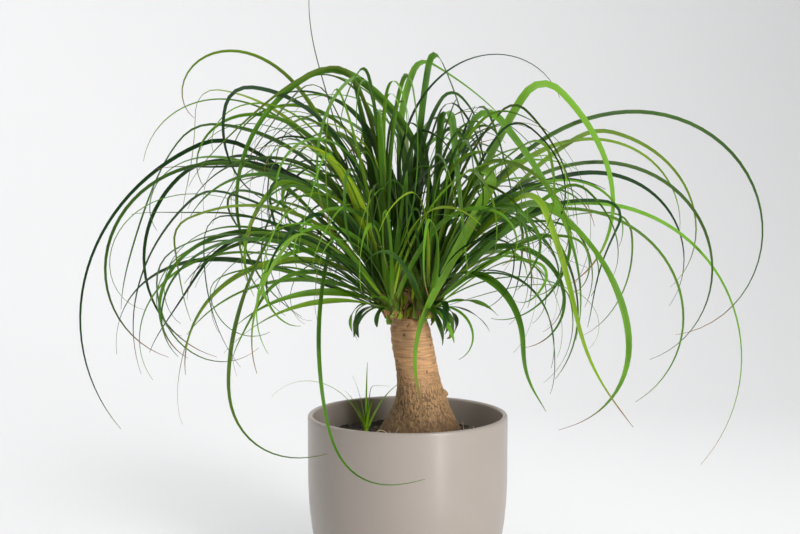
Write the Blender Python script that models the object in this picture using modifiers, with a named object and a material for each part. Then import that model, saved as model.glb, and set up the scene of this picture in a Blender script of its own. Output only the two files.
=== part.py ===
"""Potted ponytail palm: a glazed pot, its soil, the swollen trunk, two sprays of strap leaves and a sprout.

Metres, +Z up, the origin on the middle of the pot's flat base, the front of the plant towards -Y.
Two heads grow side by side at the front of the trunk's top and their leaves cross, so they are one
fused spray; the third head stands behind them. A parting surface keeps the two sprays clear of each other.
"""

import math
import random
from typing import NamedTuple

import bmesh
import bpy
import numpy as np
from mathutils import Vector

# ---------------------------------------------------------------- driving dimensions

GAP = 0.0004                    # left between touching solids

POT_RADIUS = 0.095
POT_HEIGHT = 0.170
POT_WALL = 0.0050
POT_FLOOR = 0.0080
POT_STRAIGHT = 0.050            # height of the straight band below the rim
POT_DRAW_IN = 0.020             # how much narrower the base is than the rim
POT_DRAW_POWER = 2.4
POT_BASE_ROUND = 0.008
WALL_LEVELS = (0.014, 0.036, 0.062, 0.090, 0.120)       # where the pot's wall and the soil have a station
CORNER_SLOPE = 0.006            # how far the inner corner of the floor is cut off
POT_STEPS = 40

SOIL_TOP = 0.1445
SOIL_BUMP = 0.0016
SOIL_STEPS = 28

# Height of a station on the trunk, its centre's X and its radius, from the blunt foot to the top
TRUNK_STATIONS = (
    (0.104, 0.0110, 0.0280),
    (0.112, 0.0110, 0.0380),
    (0.128, 0.0110, 0.0430),
    (0.145, 0.0110, 0.0432),
    (0.152, 0.0115, 0.0405),
    (0.165, 0.0125, 0.0335),
    (0.180, 0.0128, 0.0270),
    (0.195, 0.0115, 0.0225),
    (0.215, 0.0085, 0.0196),
    (0.240, 0.0040, 0.0186),
    (0.256, 0.0020, 0.0174),
    (0.2620, 0.0016, 0.0160),
)
TRUNK_TOP = TRUNK_STATIONS[-1][0]
TRUNK_STEPS = 40
TRUNK_ROWS = 25
TRUNK_CLEAR = 0.0012            # radial room in the soil's hole
RING_PITCH = 0.0092             # between the ring scars of the upper trunk
RING_HEIGHT = 0.0006
CRACK_COUNT = 11                # fissures round the lower trunk
CRACK_DEPTH = 0.0010
STUB = ((-0.0040, 0.0005), 0.0030, 0.0270)     # dried stem end: place, radius, height

PARTING_Y = 0.0040              # where the parting surface crosses the middle
PARTING_SLOPE = 0.36            # how fast it runs back to either side
PARTING_ROUND = 0.020
PARTING_EASE = 0.008

FRONT_LEAVES = 46
BACK_LEAVES = 42
SKIRT_LEAVES = 5                # short blades hanging round the foot of the front heads
FRONT_SEED = 58
BACK_SEED = 27
ROOT_REACH = (0.002, 0.008)     # of a blade's root from its head's middle, youngest and what age adds
BLADE_STEPS = 48                # points along a blade's line
FOLD_EASE = 0.11                # share of a blade's length over which it folds
TWIST_SPAN = 0.45               # share of a blade's length over which it twists
TURN_SHARE = 0.12               # what a degree of turning adds to one step, in spacing the sections
BLADE_RINGS = 6                 # sections along a solid blade
BLADE_TIP = 0.0010
BLADE_KEEL = 0.0012
BLADE_ROOT_SHARE = 0.40         # width at the root over the full width

SPROUT_PLACE = (-0.040, 0.010)
SPROUT_HOLE = 0.0040
SPROUT_DEPTH = 0.014
SPROUT_SIDES = 10
SPROUT_SECTIONS = 5


class Head(NamedTuple):
    """A leaf head: its foot on the trunk, its crown's middle, its girth and the spray it belongs to."""

    foot: tuple
    crown: tuple
    foot_radius: float
    crown_radius: float
    spray: str


HEAD_FOOT = TRUNK_TOP + GAP
HEAD_SIDES = 12
HEAD_SHAPE = ((0.35, 0.95), (0.70, 1.00), (0.95, 0.80), (1.15, 0.35))   # share of the climb, of the girth
HEADS = {
    "left": Head((-0.012, -0.012, HEAD_FOOT), (-0.022, -0.016, 0.302), 0.0095, 0.0130, "front"),
    "right": Head((0.014, -0.011, HEAD_FOOT), (0.022, -0.016, 0.302), 0.0095, 0.0130, "front"),
    "back": Head((0.001, 0.015, HEAD_FOOT), (0.001, 0.025, 0.306), 0.0085, 0.0120, "back"),
}


class Leaf(NamedTuple):
    """A strap leaf: angles in degrees, azimuth from +X towards +Y, lengths in metres."""

    head: str
    azimuth: float
    lift: float                 # climb at the root
    length: float
    bend: float                 # how far it has bowed over at the tip
    ease: float                 # 1 bows evenly, more bows late
    sway: float                 # turn in plan from root to tip
    fold: float                 # one sharp fold
    fold_at: float              # where the fold is, from 0 at the root to 1 at the tip
    flick: float                # lift of the last third
    width: float
    twist: float = 60.0         # roll of its face, reached by the middle
    age: float = 0.35           # 0 innermost, 1 outermost
    taper: float = 1.6          # power of the narrowing: high for a blunt, cut blade


# The long leaves that give the crown its outline
LANDMARKS = (
    Leaf("left", 178, 72, 0.370, 215, 3.8, 0, 0, 0.50, 0, 0.0065),
    Leaf("left", 181, 60, 0.550, 150, 1.4, 0, 40, 0.38, 0, 0.005),
    Leaf("left", 190, 36, 0.310, 185, 2.0, 0, 0, 0.50, 0, 0.008),
    Leaf("left", 216, 38, 0.400, 80, 1.6, -45, 84, 0.30, -70, 0.008, taper=1.1),
    Leaf("left", 199, 55, 0.374, 0, 1.0, 152, 122, 0.20, 84, 0.008, 30, taper=0.9),
    Leaf("right", 188, 105, 0.530, 208, 1.2, 0, 45, 0.46, 0, 0.009),
    Leaf("left", 180, 91, 0.245, 130, 4.2, 0, 0, 0.50, 0, 0.006),
    Leaf("left", 190, 64, 0.460, 225, 1.5, 0, 0, 0.50, 0, 0.006),
    Leaf("left", 174, 67, 0.465, 215, 1.4, 0, 18, 0.50, 0, 0.006),
    Leaf("right", 3, 67, 0.590, 240, 1.6, 0, 0, 0.50, 0, 0.006),
    Leaf("right", 0, 68, 0.445, 125, 3.0, 0, 94, 0.49, 0, 0.010, taper=2.4),
    Leaf("right", 12, 52, 0.440, 165, 2.5, 0, 30, 0.50, 0, 0.006),
    Leaf("right", 5, 62, 0.485, 224, 1.5, 0, 0, 0.50, 0, 0.006),
    Leaf("right", 13, 54, 0.390, 182, 1.8, 0, 0, 0.50, 0, 0.006),
    Leaf("right", 8, 55, 0.530, 188, 1.1, 0, 0, 0.50, 0, 0.005),
    Leaf("right", -22, 60, 0.400, 138, 1.1, 0, 48, 0.33, -36, 0.0085, 40, taper=3.0),
    Leaf("right", -6, 56, 0.405, 204, 1.3, 0, 0, 0.50, 0, 0.005),
    Leaf("right", -32, 52, 0.360, 45, 1.0, 0, 98, 0.38, 42, 0.008),
    Leaf("right", -41, 45, 0.205, 195, 1.0, 0, 0, 0.50, 95, 0.009),
    Leaf("right", -52, 66, 0.380, 0, 1.0, 72, 184, 0.345, 47, 0.0105, 60, taper=3.0),
    Leaf("left", 240, 63, 0.215, 80, 2.4, 0, 0, 0.50, 0, 0.014, 10),
    Leaf("left", 203, 62, 0.260, 120, 1.8, 0, 60, 0.55, 0, 0.011),
    Leaf("left", 173, 74, 0.315, 0, 1.0, 0, 0, 0.50, 22, 0.0018),
    Leaf("right", -60, 84, 0.325, 0, 1.0, 0, 163, 0.52, 0, 0.011, 15),
    Leaf("back", 140, 84, 0.350, 60, 1.8, -150, 75, 0.66, 0, 0.011),
    Leaf("back", 60, 86, 0.385, 50, 2.0, 0, 108, 0.60, 0, 0.011),
    Leaf("right", -15, 78, 0.410, 60, 3.0, 0, 122, 0.42, 0, 0.009),
    Leaf("left", 195, 34, 0.250, 130, 1.3, 0, 0, 0.50, 0, 0.009),
    Leaf("left", 210, 16, 0.170, 60, 1.2, 0, 0, 0.50, 0, 0.008, 40, age=0.9),
    Leaf("left", 185, 74, 0.315, 200, 2.6, 0, 0, 0.50, 0, 0.007),
    Leaf("left", -40, 95, 0.175, 95, 1.3, 0, 0, 0.50, 0, 0.011, 40),
    Leaf("left", -25, 88, 0.185, 78, 1.3, 0, 0, 0.50, 0, 0.009, 40),
    Leaf("left", 195, 86, 0.215, 15, 2.0, 0, 60, 0.93, 0, 0.012),
    Leaf("right", -12, 84, 0.175, 20, 2.0, 0, 0, 0.50, 0, 0.011),
    Leaf("left", 205, 22, 0.150, 60, 1.2, 0, 0, 0.50, 0, 0.009, -40, age=0.8),
    Leaf("left", 198, 26, 0.200, 78, 1.3, 0, 0, 0.50, 0, 0.010, 40, age=0.7),
    Leaf("left", 194, 46, 0.210, 100, 1.3, 0, 0, 0.50, 0, 0.008),
    Leaf("right", -8, 54, 0.225, 225, 1.4, 0, 0, 0.50, 0, 0.007),
    Leaf("right", -20, 10, 0.080, 165, 1.2, 0, 0, 0.50, 0, 0.003, age=0.9),
    Leaf("right", 10, 66, 0.360, 160, 1.8, 0, 0, 0.50, 0, 0.007),
    Leaf("left", 169, 70, 0.360, 150, 2.2, 0, 0, 0.50, 0, 0.003),
    Leaf("back", 0, 103, 0.350, 172, 2.0, 0, 0, 0.50, 0, 0.003),
    Leaf("back", 84, 62, 0.280, 175, 1.5, 0, 0, 0.50, 0, 0.007),
    Leaf("back", 116, 58, 0.285, 165, 1.6, 0, 0, 0.50, 0, 0.006),
)

# The sprout's blades, all from its own bulb
SPROUT_BLADES = (
    Leaf("left", 168, 76, 0.125, 125, 1.2, 0, 0, 0.50, 0, 0.0018, 0),
    Leaf("left", 190, 84, 0.060, 20, 2.0, 0, 0, 0.50, 0, 0.0042, 0),
    Leaf("left", 215, 74, 0.052, 35, 2.0, 0, 0, 0.50, 0, 0.0038, 0),
    Leaf("left", 20, 86, 0.066, 15, 2.0, 0, 80, 0.72, 0, 0.0034, 0),
    Leaf("left", 32, 68, 0.078, 60, 1.5, 0, 0, 0.50, 0, 0.0030, 0),
    Leaf("left", 300, 80, 0.042, 40, 2.0, 0, 0, 0.50, 0, 0.0036, 0),
    Leaf("left", 80, 88, 0.070, 12, 2.0, 0, 0, 0.50, 0, 0.0022, 0),
)


# ---------------------------------------------------------------- how the leaves grow

def smooth(x):
    """0 below 0, 1 above 1 and an eased step between."""
    x = np.clip(x, 0.0, 1.0)
    return x * x * (3 - 2 * x)


def spray_side(leaf):
    """+1 for the spray behind the parting surface, -1 for the one in front."""
    return 1 if HEADS[leaf.head].spray == "back" else -1


def root_of(leaf):
    """The blade's first point, sunk in its head: old leaves low and outside, young ones at the top."""
    head = HEADS[leaf.head]
    foot, crown = np.array(head.foot), np.array(head.crown)
    middle = crown + (foot - crown) * (0.05 + 0.75 * leaf.age)
    out = math.radians(leaf.azimuth)
    reach = ROOT_REACH[0] + ROOT_REACH[1] * leaf.age
    return middle + reach * np.array([math.cos(out), math.sin(out), 0.0])


def leaf_line(leaf, root):
    """Points along the middle of a blade from its root, and the way each faces in plan, in radians."""
    u = (np.arange(BLADE_STEPS) + 0.5) / BLADE_STEPS
    climb = leaf.lift - leaf.bend * u ** leaf.ease
    climb = climb - leaf.fold * smooth((u - leaf.fold_at) / FOLD_EASE + 0.5)
    climb = climb + leaf.flick * smooth((u - 0.65) / 0.35)
    climb, heading = np.radians(climb), np.radians(leaf.azimuth + leaf.sway * u)
    step = np.stack([np.cos(climb) * np.cos(heading), np.cos(climb) * np.sin(heading), np.sin(climb)], axis=1)
    points = np.vstack([root, root + np.cumsum(step, axis=0) * leaf.length / BLADE_STEPS])
    return points, np.append(heading[0], heading)


def keep_clear(points, side, room):
    """Ease the points along Y until they are on their own side of the parting surface."""
    x = points[:, 0]
    parting = PARTING_Y + PARTING_SLOPE * (np.sqrt(x * x + PARTING_ROUND ** 2) - PARTING_ROUND)
    spare = side * (points[:, 1] - parting) - room
    points[:, 1] += side * (0.5 * (spare + np.sqrt(spare * spare + PARTING_EASE ** 2)) - spare)


def blade_line(leaf):
    """The line of a blade of the crown, kept on its spray's side of the parting surface."""
    points, headings = leaf_line(leaf, root_of(leaf))
    keep_clear(points, spray_side(leaf), 0.55 * leaf.width + 0.0012)
    return points, headings


def inside_crown(points):
    """Whether a blade stays under the crown's dome, and hangs low only out to the sides."""
    x, y, z = points.T
    above = z > 0.30
    dome = ((x + 0.045) / 0.265) ** 2 + (y / 0.21) ** 2 + ((z - 0.30) / 0.215) ** 2
    drum = ((x + 0.045) / 0.255) ** 2 + (y / 0.19) ** 2
    lowest = 0.292 - 0.13 * smooth((np.abs(x + 0.005) - 0.045) / 0.12)
    hanging = (z < lowest)[10:]
    return not ((dome[above] > 1).any() or (drum[~above] > 1).any() or hanging.any())


def draw_leaf(rng, spray, turn, age):
    """One blade of a spray, at its share of the turn round the heads."""
    head = "back"
    azimuth = 12 + 156 * turn + rng.uniform(-6, 6)
    if spray == "front":
        azimuth = 172 + 196 * turn ** 1.25 + rng.uniform(-8, 8)
        sideways = math.cos(math.radians(azimuth))
        leaning = math.copysign(abs(sideways) ** 0.5, sideways)
        head = "left" if rng.random() < 0.5 - 0.5 * leaning else "right"
    return Leaf(
        head, azimuth,
        lift=92 - 66 * age ** 1.3 + rng.uniform(-9, 8),
        length=rng.uniform(0.20, 0.48),
        bend=rng.uniform(80, 215),
        ease=rng.uniform(1.3, 3.4),
        sway=rng.uniform(-45, 45),
        fold=rng.choice((0, 0, 0, 1)) * rng.uniform(30, 100),
        fold_at=rng.uniform(0.45, 0.75),
        flick=rng.choice((0, 0, 1)) * rng.uniform(20, 70),
        width=rng.uniform(0.0040, 0.0085) * (1 - 0.35 * max(0.0, -math.sin(math.radians(azimuth)))),
        twist=rng.choice((-1, 1)) * rng.uniform(15, 75),
        age=age,
    )


def draw_fitting(rng, spray, turn, age):
    """A blade of a spray, redrawn until it fits the crown."""
    leaf = draw_leaf(rng, spray, turn, age)
    while not inside_crown(blade_line(leaf)[0]):
        leaf = draw_leaf(rng, spray, turn, age)
    return leaf


def draw_skirt(rng, azimuth):
    """A short blade hanging at the foot of the front heads."""
    return Leaf(
        "left" if azimuth < 262 else "right", azimuth,
        lift=rng.uniform(-15, 30), length=rng.uniform(0.030, 0.070), bend=rng.uniform(70, 170),
        ease=1.2, sway=rng.uniform(-60, 60), fold=0, fold_at=0.5, flick=0,
        width=rng.uniform(0.004, 0.007), twist=0, age=0.92, taper=9,
    )


def grow_leaves():
    """Every blade of the plant: drawn ones, the skirt and the landmarks."""
    leaves = []
    draws = (("back", BACK_LEAVES, BACK_SEED), ("front", FRONT_LEAVES, FRONT_SEED))
    for spray, count, seed in draws:
        rng = random.Random(seed)
        for index in range(count):
            leaves.append(draw_fitting(rng, spray, (index * 0.618034 + 0.3) % 1, (index + 0.5) / count))
    for index in range(SKIRT_LEAVES):
        leaves.append(draw_skirt(rng, 176 + 188 * (index + 0.5) / SKIRT_LEAVES))
    return leaves + list(LANDMARKS)


# ---------------------------------------------------------------- building blocks

def clear_scene():
    for item in list(bpy.data.objects):
        bpy.data.objects.remove(item, do_unlink=True)


def collection(name):
    group = bpy.data.collections.new(name)
    bpy.context.scene.collection.children.link(group)
    return group


def material(name, color, roughness):
    made = bpy.data.materials.new(name)
    made.use_nodes = True
    shader = made.node_tree.nodes["Principled BSDF"]
    shader.inputs["Base Color"].default_value = (*color, 1.0)
    shader.inputs["Roughness"].default_value = roughness
    shader.inputs["Metallic"].default_value = 0.0
    return made


def object_from(mesh_maker, name, group):
    """A new object from a bmesh that mesh_maker fills."""
    mesh = bpy.data.meshes.new(name)
    work = bmesh.new()
    mesh_maker(work)
    work.to_mesh(mesh)
    work.free()
    made = bpy.data.objects.new(name, mesh)
    group.objects.link(made)
    return made


def turned(name, profile, steps, group):
    """A solid turned round Z from a profile that starts and ends on the axis."""
    def draw(work):
        line = [work.verts.new((radius, 0.0, height)) for radius, height in profile]
        for start, end in zip(line, line[1:]):
            work.edges.new((start, end))

    made = object_from(draw, name, group)
    screw = made.modifiers.new("Turn", "SCREW")
    screw.steps = steps
    screw.render_steps = steps
    screw.use_merge_vertices = True
    screw.merge_threshold = 0.00001
    apply_modifiers(made)
    return made


def apply_modifiers(made):
    """Keep the evaluated mesh in place of the modifiers."""
    bpy.context.view_layer.update()
    evaluated = made.evaluated_get(bpy.context.evaluated_depsgraph_get())
    mesh = bpy.data.meshes.new_from_object(evaluated)
    made.modifiers.clear()
    made.data = mesh


def cut(made, cutter):
    tool = made.modifiers.new("Cut", "BOOLEAN")
    tool.operation = "DIFFERENCE"
    tool.solver = "EXACT"
    tool.object = cutter
    cutter.hide_render = True
    cutter.display_type = "WIRE"


def add_split(work, corners, middle):
    """Two triangles over four corners, folded away from the middle so that a twisted blade can't cross itself."""
    a, b, c, d = (corner.co for corner in corners)
    normal = (c - a).cross(d - b)
    if normal.dot((a + b + c + d) / 4 - middle) < 0:
        normal = -normal
    if normal.dot(a + c - b - d) < 0:
        corners = (*corners[1:], corners[0])
    work.faces.new(corners[:3])
    work.faces.new((corners[0], *corners[2:]))


def loft(work, rings):
    """Skin a closed solid through rings of equal counts of points."""
    rows = [[work.verts.new(point) for point in ring] for ring in rings]
    count = len(rows[0])
    for low, high in zip(rows, rows[1:]):
        middle = sum((corner.co for corner in low + high), Vector()) / (2 * count)
        for index in range(count):
            after = (index + 1) % count
            add_split(work, (low[index], low[after], high[after], high[index]), middle)
    work.faces.new(rows[0][::-1])
    work.faces.new(rows[-1])
    bmesh.ops.recalc_face_normals(work, faces=work.faces)


def join_all(base, repeats, solver):
    """Fuse a collection of repeats into the base with one Boolean, then drop the repeats."""
    tool = base.modifiers.new("Join", "BOOLEAN")
    tool.operation = "UNION"
    tool.operand_type = "COLLECTION"
    tool.collection = repeats
    tool.solver = solver
    apply_modifiers(base)
    for item in list(repeats.objects):
        bpy.data.objects.remove(item, do_unlink=True)
    bpy.data.collections.remove(repeats)
    keep_main_shell(base)


def keep_main_shell(made):
    """Fill the pockets that a join has sealed and drop loose scraps, by keeping the largest shell alone."""
    work = bmesh.new()
    work.from_mesh(made.data)
    bmesh.ops.triangulate(work, faces=work.faces)
    unseen = set(work.faces)
    shells = []
    while unseen:
        shell = [unseen.pop()]
        for face in shell:
            pairs = [edge.link_faces for edge in face.edges if len(edge.link_faces) == 2]
            near = {other for pair in pairs for other in pair if other in unseen}
            unseen -= near
            shell.extend(near)
        shells.append(shell)
    shells.sort(key=len)
    extra = [face for shell in shells[:-1] for face in shell]
    bmesh.ops.delete(work, geom=extra, context="FACES")
    work.to_mesh(made.data)
    work.free()


# ---------------------------------------------------------------- pot and soil

def pot_outer(height):
    """Outer radius of the pot: straight below the rim, then drawn in towards the base."""
    fall = POT_HEIGHT - POT_STRAIGHT
    depth = max(0.0, (fall - height) / fall)
    return POT_RADIUS - POT_DRAW_IN * depth ** POT_DRAW_POWER


def arc(centre, radius, start, end, points):
    """Points on an arc in the profile plane, angles in degrees."""
    return [
        (centre[0] + radius * math.cos(angle), centre[1] + radius * math.sin(angle))
        for angle in np.radians(np.linspace(start, end, points))
    ]


def make_pot(group):
    lip = POT_WALL / 2
    rim = (POT_RADIUS - lip, POT_HEIGHT - lip)
    wall = [(pot_outer(height), height) for height in WALL_LEVELS[::-1]]
    foot = (pot_outer(POT_BASE_ROUND) - POT_BASE_ROUND, POT_BASE_ROUND)
    inner = [(pot_outer(height) - POT_WALL, height) for height in WALL_LEVELS]
    profile = [(0.0, POT_FLOOR), (inner[0][0] - CORNER_SLOPE, POT_FLOOR), *inner]
    profile += arc(rim, lip, 180, 0, 5)
    profile += wall
    profile += arc(foot, POT_BASE_ROUND, 0, -90, 4)
    profile += [(0.0, 0.0)]
    pot = turned("pot", profile, POT_STEPS, group)
    pot.data.materials.append(material("glazed_stoneware", (0.42, 0.38, 0.34), 0.38))
    return pot


def soil_relief(x, y):
    """Height of the lumpy surface over the soil's level."""
    return SOIL_BUMP * (
        math.sin(95 * x + 0.6) * math.cos(110 * y - 0.4)
        + 0.6 * math.sin(210 * x - 1.3) * math.sin(190 * y + 0.9)
        + 0.4 * math.cos(330 * x + 250 * y)
    )


def make_soil(group, cutters):
    floor = POT_FLOOR + GAP
    wall = [(pot_outer(height) - POT_WALL - GAP, height) for height in WALL_LEVELS]
    edge = wall[-1][0]
    profile = [(edge * share, SOIL_TOP) for share in (0.0, 0.3, 0.5, 0.66, 0.78, 0.9, 1.0)]
    profile += wall[::-1]
    profile += [(wall[0][0] - CORNER_SLOPE, floor), (0.0, floor)]
    soil = turned("soil", profile, SOIL_STEPS, group)
    for vertex in soil.data.vertices:
        x, y, z = vertex.co
        if z > SOIL_TOP - GAP and math.hypot(x, y) < edge - GAP:
            vertex.co.z += soil_relief(x, y)

    def bore(place, radius, bottom, sides):
        def draw(work):
            height = POT_HEIGHT - bottom
            bmesh.ops.create_cone(
                work, cap_ends=True, segments=sides, radius1=radius, radius2=radius, depth=height
            )
            bmesh.ops.translate(work, verts=work.verts, vec=(*place, bottom + height / 2))
        return draw

    widest = max(radius for _, _, radius in TRUNK_STATIONS)
    bottom, middle, _ = TRUNK_STATIONS[0]
    trunk_bore = bore((middle, 0.0), widest + TRUNK_CLEAR, bottom - GAP, TRUNK_STEPS)
    sprout_bore = bore(SPROUT_PLACE, SPROUT_HOLE, SOIL_TOP - SPROUT_DEPTH, SPROUT_SIDES)
    cut(soil, object_from(trunk_bore, "trunk_hole", cutters))
    cut(soil, object_from(sprout_bore, "sprout_hole", cutters))
    soil.data.materials.append(material("potting_soil", (0.05, 0.042, 0.028), 0.95))
    return soil


# ---------------------------------------------------------------- trunk

def trunk_at(height):
    """Centre X and radius of the trunk at a height, on an eased curve through the stations."""
    stations = np.array(TRUNK_STATIONS)
    index = int(np.clip(np.searchsorted(stations[:, 0], height) - 1, 0, len(stations) - 2))
    slopes = np.gradient(stations[:, 1:], stations[:, 0], axis=0)
    span = stations[index + 1, 0] - stations[index, 0]
    t = (height - stations[index, 0]) / span
    start, end = stations[index, 1:], stations[index + 1, 1:]
    return (
        start * (1 + 2 * t) * (1 - t) ** 2 + end * t * t * (3 - 2 * t)
        + span * (slopes[index] * t * (1 - t) ** 2 - slopes[index + 1] * t * t * (1 - t))
    )


def bark_relief(angle, height):
    """Ring scars on the upper trunk and a net of upright fissures on the lower one."""
    tilt = 0.8 * math.sin(angle + 40 * height) + 0.5 * math.sin(3 * angle)
    rings = math.sin(2 * math.pi * height / RING_PITCH + tilt)
    wander = 1.1 * math.sin(140 * height + 2 * angle) + 0.7 * math.sin(260 * height - angle)
    cracks = abs(math.sin(0.5 * (CRACK_COUNT * angle + wander)))
    upper = float(smooth((height - 0.190) / 0.025))
    lower = float(smooth((height - 0.149) / 0.010)) * (1 - upper)
    lumps = 0.0010 * math.sin(2 * angle + 60 * height) * float(smooth((height - 0.150) / 0.02))
    top = 1 - float(smooth((height - TRUNK_TOP + 0.006) / 0.006))
    return top * (upper * RING_HEIGHT * rings - lower * CRACK_DEPTH * (1 - cracks) ** 2 + lumps)


def make_trunk(group):
    bottom = TRUNK_STATIONS[0][0]
    rings = []
    for height in np.linspace(bottom, TRUNK_TOP, TRUNK_ROWS):
        middle, radius = trunk_at(height)
        ring = []
        for index in range(TRUNK_STEPS):
            angle = 2 * math.pi * index / TRUNK_STEPS
            reach = radius + bark_relief(angle, height)
            ring.append((middle + reach * math.cos(angle), reach * math.sin(angle), height))
        rings.append(ring)
    trunk = object_from(lambda work: loft(work, rings), "trunk", group)

    extras = collection("trunk_ends")
    (x, y), radius, height = STUB

    def draw_stub(work):
        bmesh.ops.create_cone(
            work, cap_ends=True, segments=9, radius1=radius, radius2=0.75 * radius, depth=height
        )
        bmesh.ops.translate(work, verts=work.verts, vec=(x, y, TRUNK_TOP - 0.004 + height / 2))

    def draw_knot(angle, level, size):
        middle, radius = trunk_at(level)
        def draw(work):
            bmesh.ops.create_icosphere(work, subdivisions=1, radius=size)
            place = (middle + radius * math.cos(angle), radius * math.sin(angle), level)
            bmesh.ops.translate(work, verts=work.verts, vec=place)
        return draw

    object_from(draw_stub, "stub", extras)
    object_from(draw_knot(math.radians(-8), 0.190, 0.0042), "side_bud", extras)
    object_from(draw_knot(math.radians(-112), 0.247, 0.0030), "upper_knot", extras)
    object_from(draw_knot(math.radians(-62), 0.212, 0.0028), "lower_knot", extras)
    join_all(trunk, extras, "EXACT")
    trunk.data.materials.append(material("bark", (0.42, 0.27, 0.15), 0.85))
    return trunk


# ---------------------------------------------------------------- leaves

def section_places(tangents, sections):
    """Which points of a blade get a section: evenly spread, but closer where the blade turns."""
    turned = np.degrees(np.arccos(np.clip((tangents[1:] * tangents[:-1]).sum(axis=1), -1, 1)))
    passed = np.concatenate([[0.0], np.cumsum(1 + TURN_SHARE * turned)])
    return np.rint(np.interp(np.linspace(0, passed[-1], sections + 1), passed, range(len(passed)))).astype(int)


def blade_rings(leaf, points, headings, sections=BLADE_RINGS):
    """Three-cornered sections along a blade: its two edges and its keel."""
    rings = []
    tangents = np.gradient(points, axis=0)
    tangents /= np.linalg.norm(tangents, axis=1)[:, None]
    for index in section_places(tangents, sections):
        u = index / (len(points) - 1)
        along = tangents[index]
        heading = headings[index]
        across = np.array([-math.sin(heading), math.cos(heading), 0.0])
        upward = np.cross(along, across)
        turn = math.radians(leaf.twist) * float(smooth(u / TWIST_SPAN))
        across, upward = (
            across * math.cos(turn) + upward * math.sin(turn),
            upward * math.cos(turn) - across * math.sin(turn),
        )
        opening = BLADE_ROOT_SHARE + (1 - BLADE_ROOT_SHARE) * min(1.0, u / 0.12)
        half = 0.5 * (leaf.width * opening * (1 - u ** leaf.taper) + BLADE_TIP)
        keel = max(BLADE_KEEL, 0.15 * leaf.width) * (1 - 0.35 * u)
        middle = points[index]
        rings.append([middle + across * half, middle - across * half, middle - upward * keel])
    return rings


def head_rings(head):
    """Round sections up a head's short stem, from its foot to its domed crown."""
    rings = []
    foot, crown = np.array(head.foot), np.array(head.crown)
    shape = [(0.0, head.foot_radius)]
    shape += [(share, part * head.crown_radius) for share, part in HEAD_SHAPE]
    for share, radius in shape:
        middle = foot + (crown - foot) * share
        rings.append([
            middle + radius * np.array([math.cos(turn), math.sin(turn), 0.0])
            for turn in np.linspace(0, 2 * math.pi, HEAD_SIDES, endpoint=False)
        ])
    return rings


def make_spray(name, spray, leaves, group, solver):
    """Fuse one spray's heads and blades into one solid."""
    repeats = collection(name + "_blades")
    heads = [head for head in HEADS.values() if head.spray == spray]
    base = object_from(lambda work: loft(work, head_rings(heads[0])), name, group)
    for index, head in enumerate(heads[1:]):
        object_from(lambda work, head=head: loft(work, head_rings(head)), f"{name}_head_{index}", repeats)
    for index, leaf in enumerate(leaf for leaf in leaves if HEADS[leaf.head].spray == spray):
        points, headings = blade_line(leaf)
        rings = blade_rings(leaf, points, headings)
        object_from(lambda work, rings=rings: loft(work, rings), f"{name}_blade_{index}", repeats)
    join_all(base, repeats, solver)
    return base


def make_sprout(group, green):
    """A young offset in a hole of its own: a small bulb and its few blades."""
    x, y = SPROUT_PLACE
    base = SOIL_TOP - SPROUT_DEPTH + GAP
    blades = collection("sprout_blades")

    def draw_bulb(work):
        height = SPROUT_DEPTH + 0.010
        bmesh.ops.create_cone(
            work, cap_ends=True, segments=8,
            radius1=SPROUT_HOLE - 3 * GAP, radius2=0.6 * SPROUT_HOLE, depth=height,
        )
        bmesh.ops.translate(work, verts=work.verts, vec=(x, y, base + height / 2))

    sprout = object_from(draw_bulb, "sprout", group)
    root = np.array((x, y, SOIL_TOP + 0.002))
    for index, leaf in enumerate(SPROUT_BLADES):
        points, headings = leaf_line(leaf, root)
        rings = blade_rings(leaf, points, headings, SPROUT_SECTIONS)
        object_from(lambda work, rings=rings: loft(work, rings), f"sprout_blade_{index}", blades)
    join_all(sprout, blades, "MANIFOLD")
    sprout.data.materials.append(green)
    return sprout


def main():
    clear_scene()
    palm = collection("ponytail_palm")
    cutters = collection("cutters")
    make_pot(palm)
    make_soil(palm, cutters)
    make_trunk(palm)
    green = material("leaf_green", (0.10, 0.24, 0.06), 0.45)
    leaves = grow_leaves()
    for name, spray in (("leaves_front", "front"), ("leaves_back", "back")):
        make_spray(name, spray, leaves, palm, "MANIFOLD").data.materials.append(green)
    make_sprout(palm, green)


main()
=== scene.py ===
"""A ponytail palm in a glazed pot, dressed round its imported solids.

Metres, +Z up, the middle of the pot's flat base at the origin and the front of the plant towards -Y.
The blades grow by the same rules, numbers and seeds as the solids, so each stands where its solid does.
"""

import math
import random
from contextlib import contextmanager
from typing import NamedTuple

import bmesh
import bpy
import numpy as np
from bpy.props import FloatProperty, FloatVectorProperty, IntProperty, PointerProperty
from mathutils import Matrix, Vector, noise


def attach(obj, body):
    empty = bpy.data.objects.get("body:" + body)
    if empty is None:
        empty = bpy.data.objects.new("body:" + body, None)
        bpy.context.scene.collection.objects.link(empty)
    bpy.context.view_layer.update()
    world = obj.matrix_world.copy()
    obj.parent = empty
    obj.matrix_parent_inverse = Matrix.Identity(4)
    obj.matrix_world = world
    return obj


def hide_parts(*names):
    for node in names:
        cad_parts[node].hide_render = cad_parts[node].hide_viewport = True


bl_info = {
    "name": "Potted Ponytail Palm",
    "version": (1, 0, 0),
    "blender": (4, 5, 0),
    "location": "3D View > Sidebar > Palm",
    "description": "Builds a ponytail palm in a glazed pot round its packed solids",
    "category": "Add Mesh",
}

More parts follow.
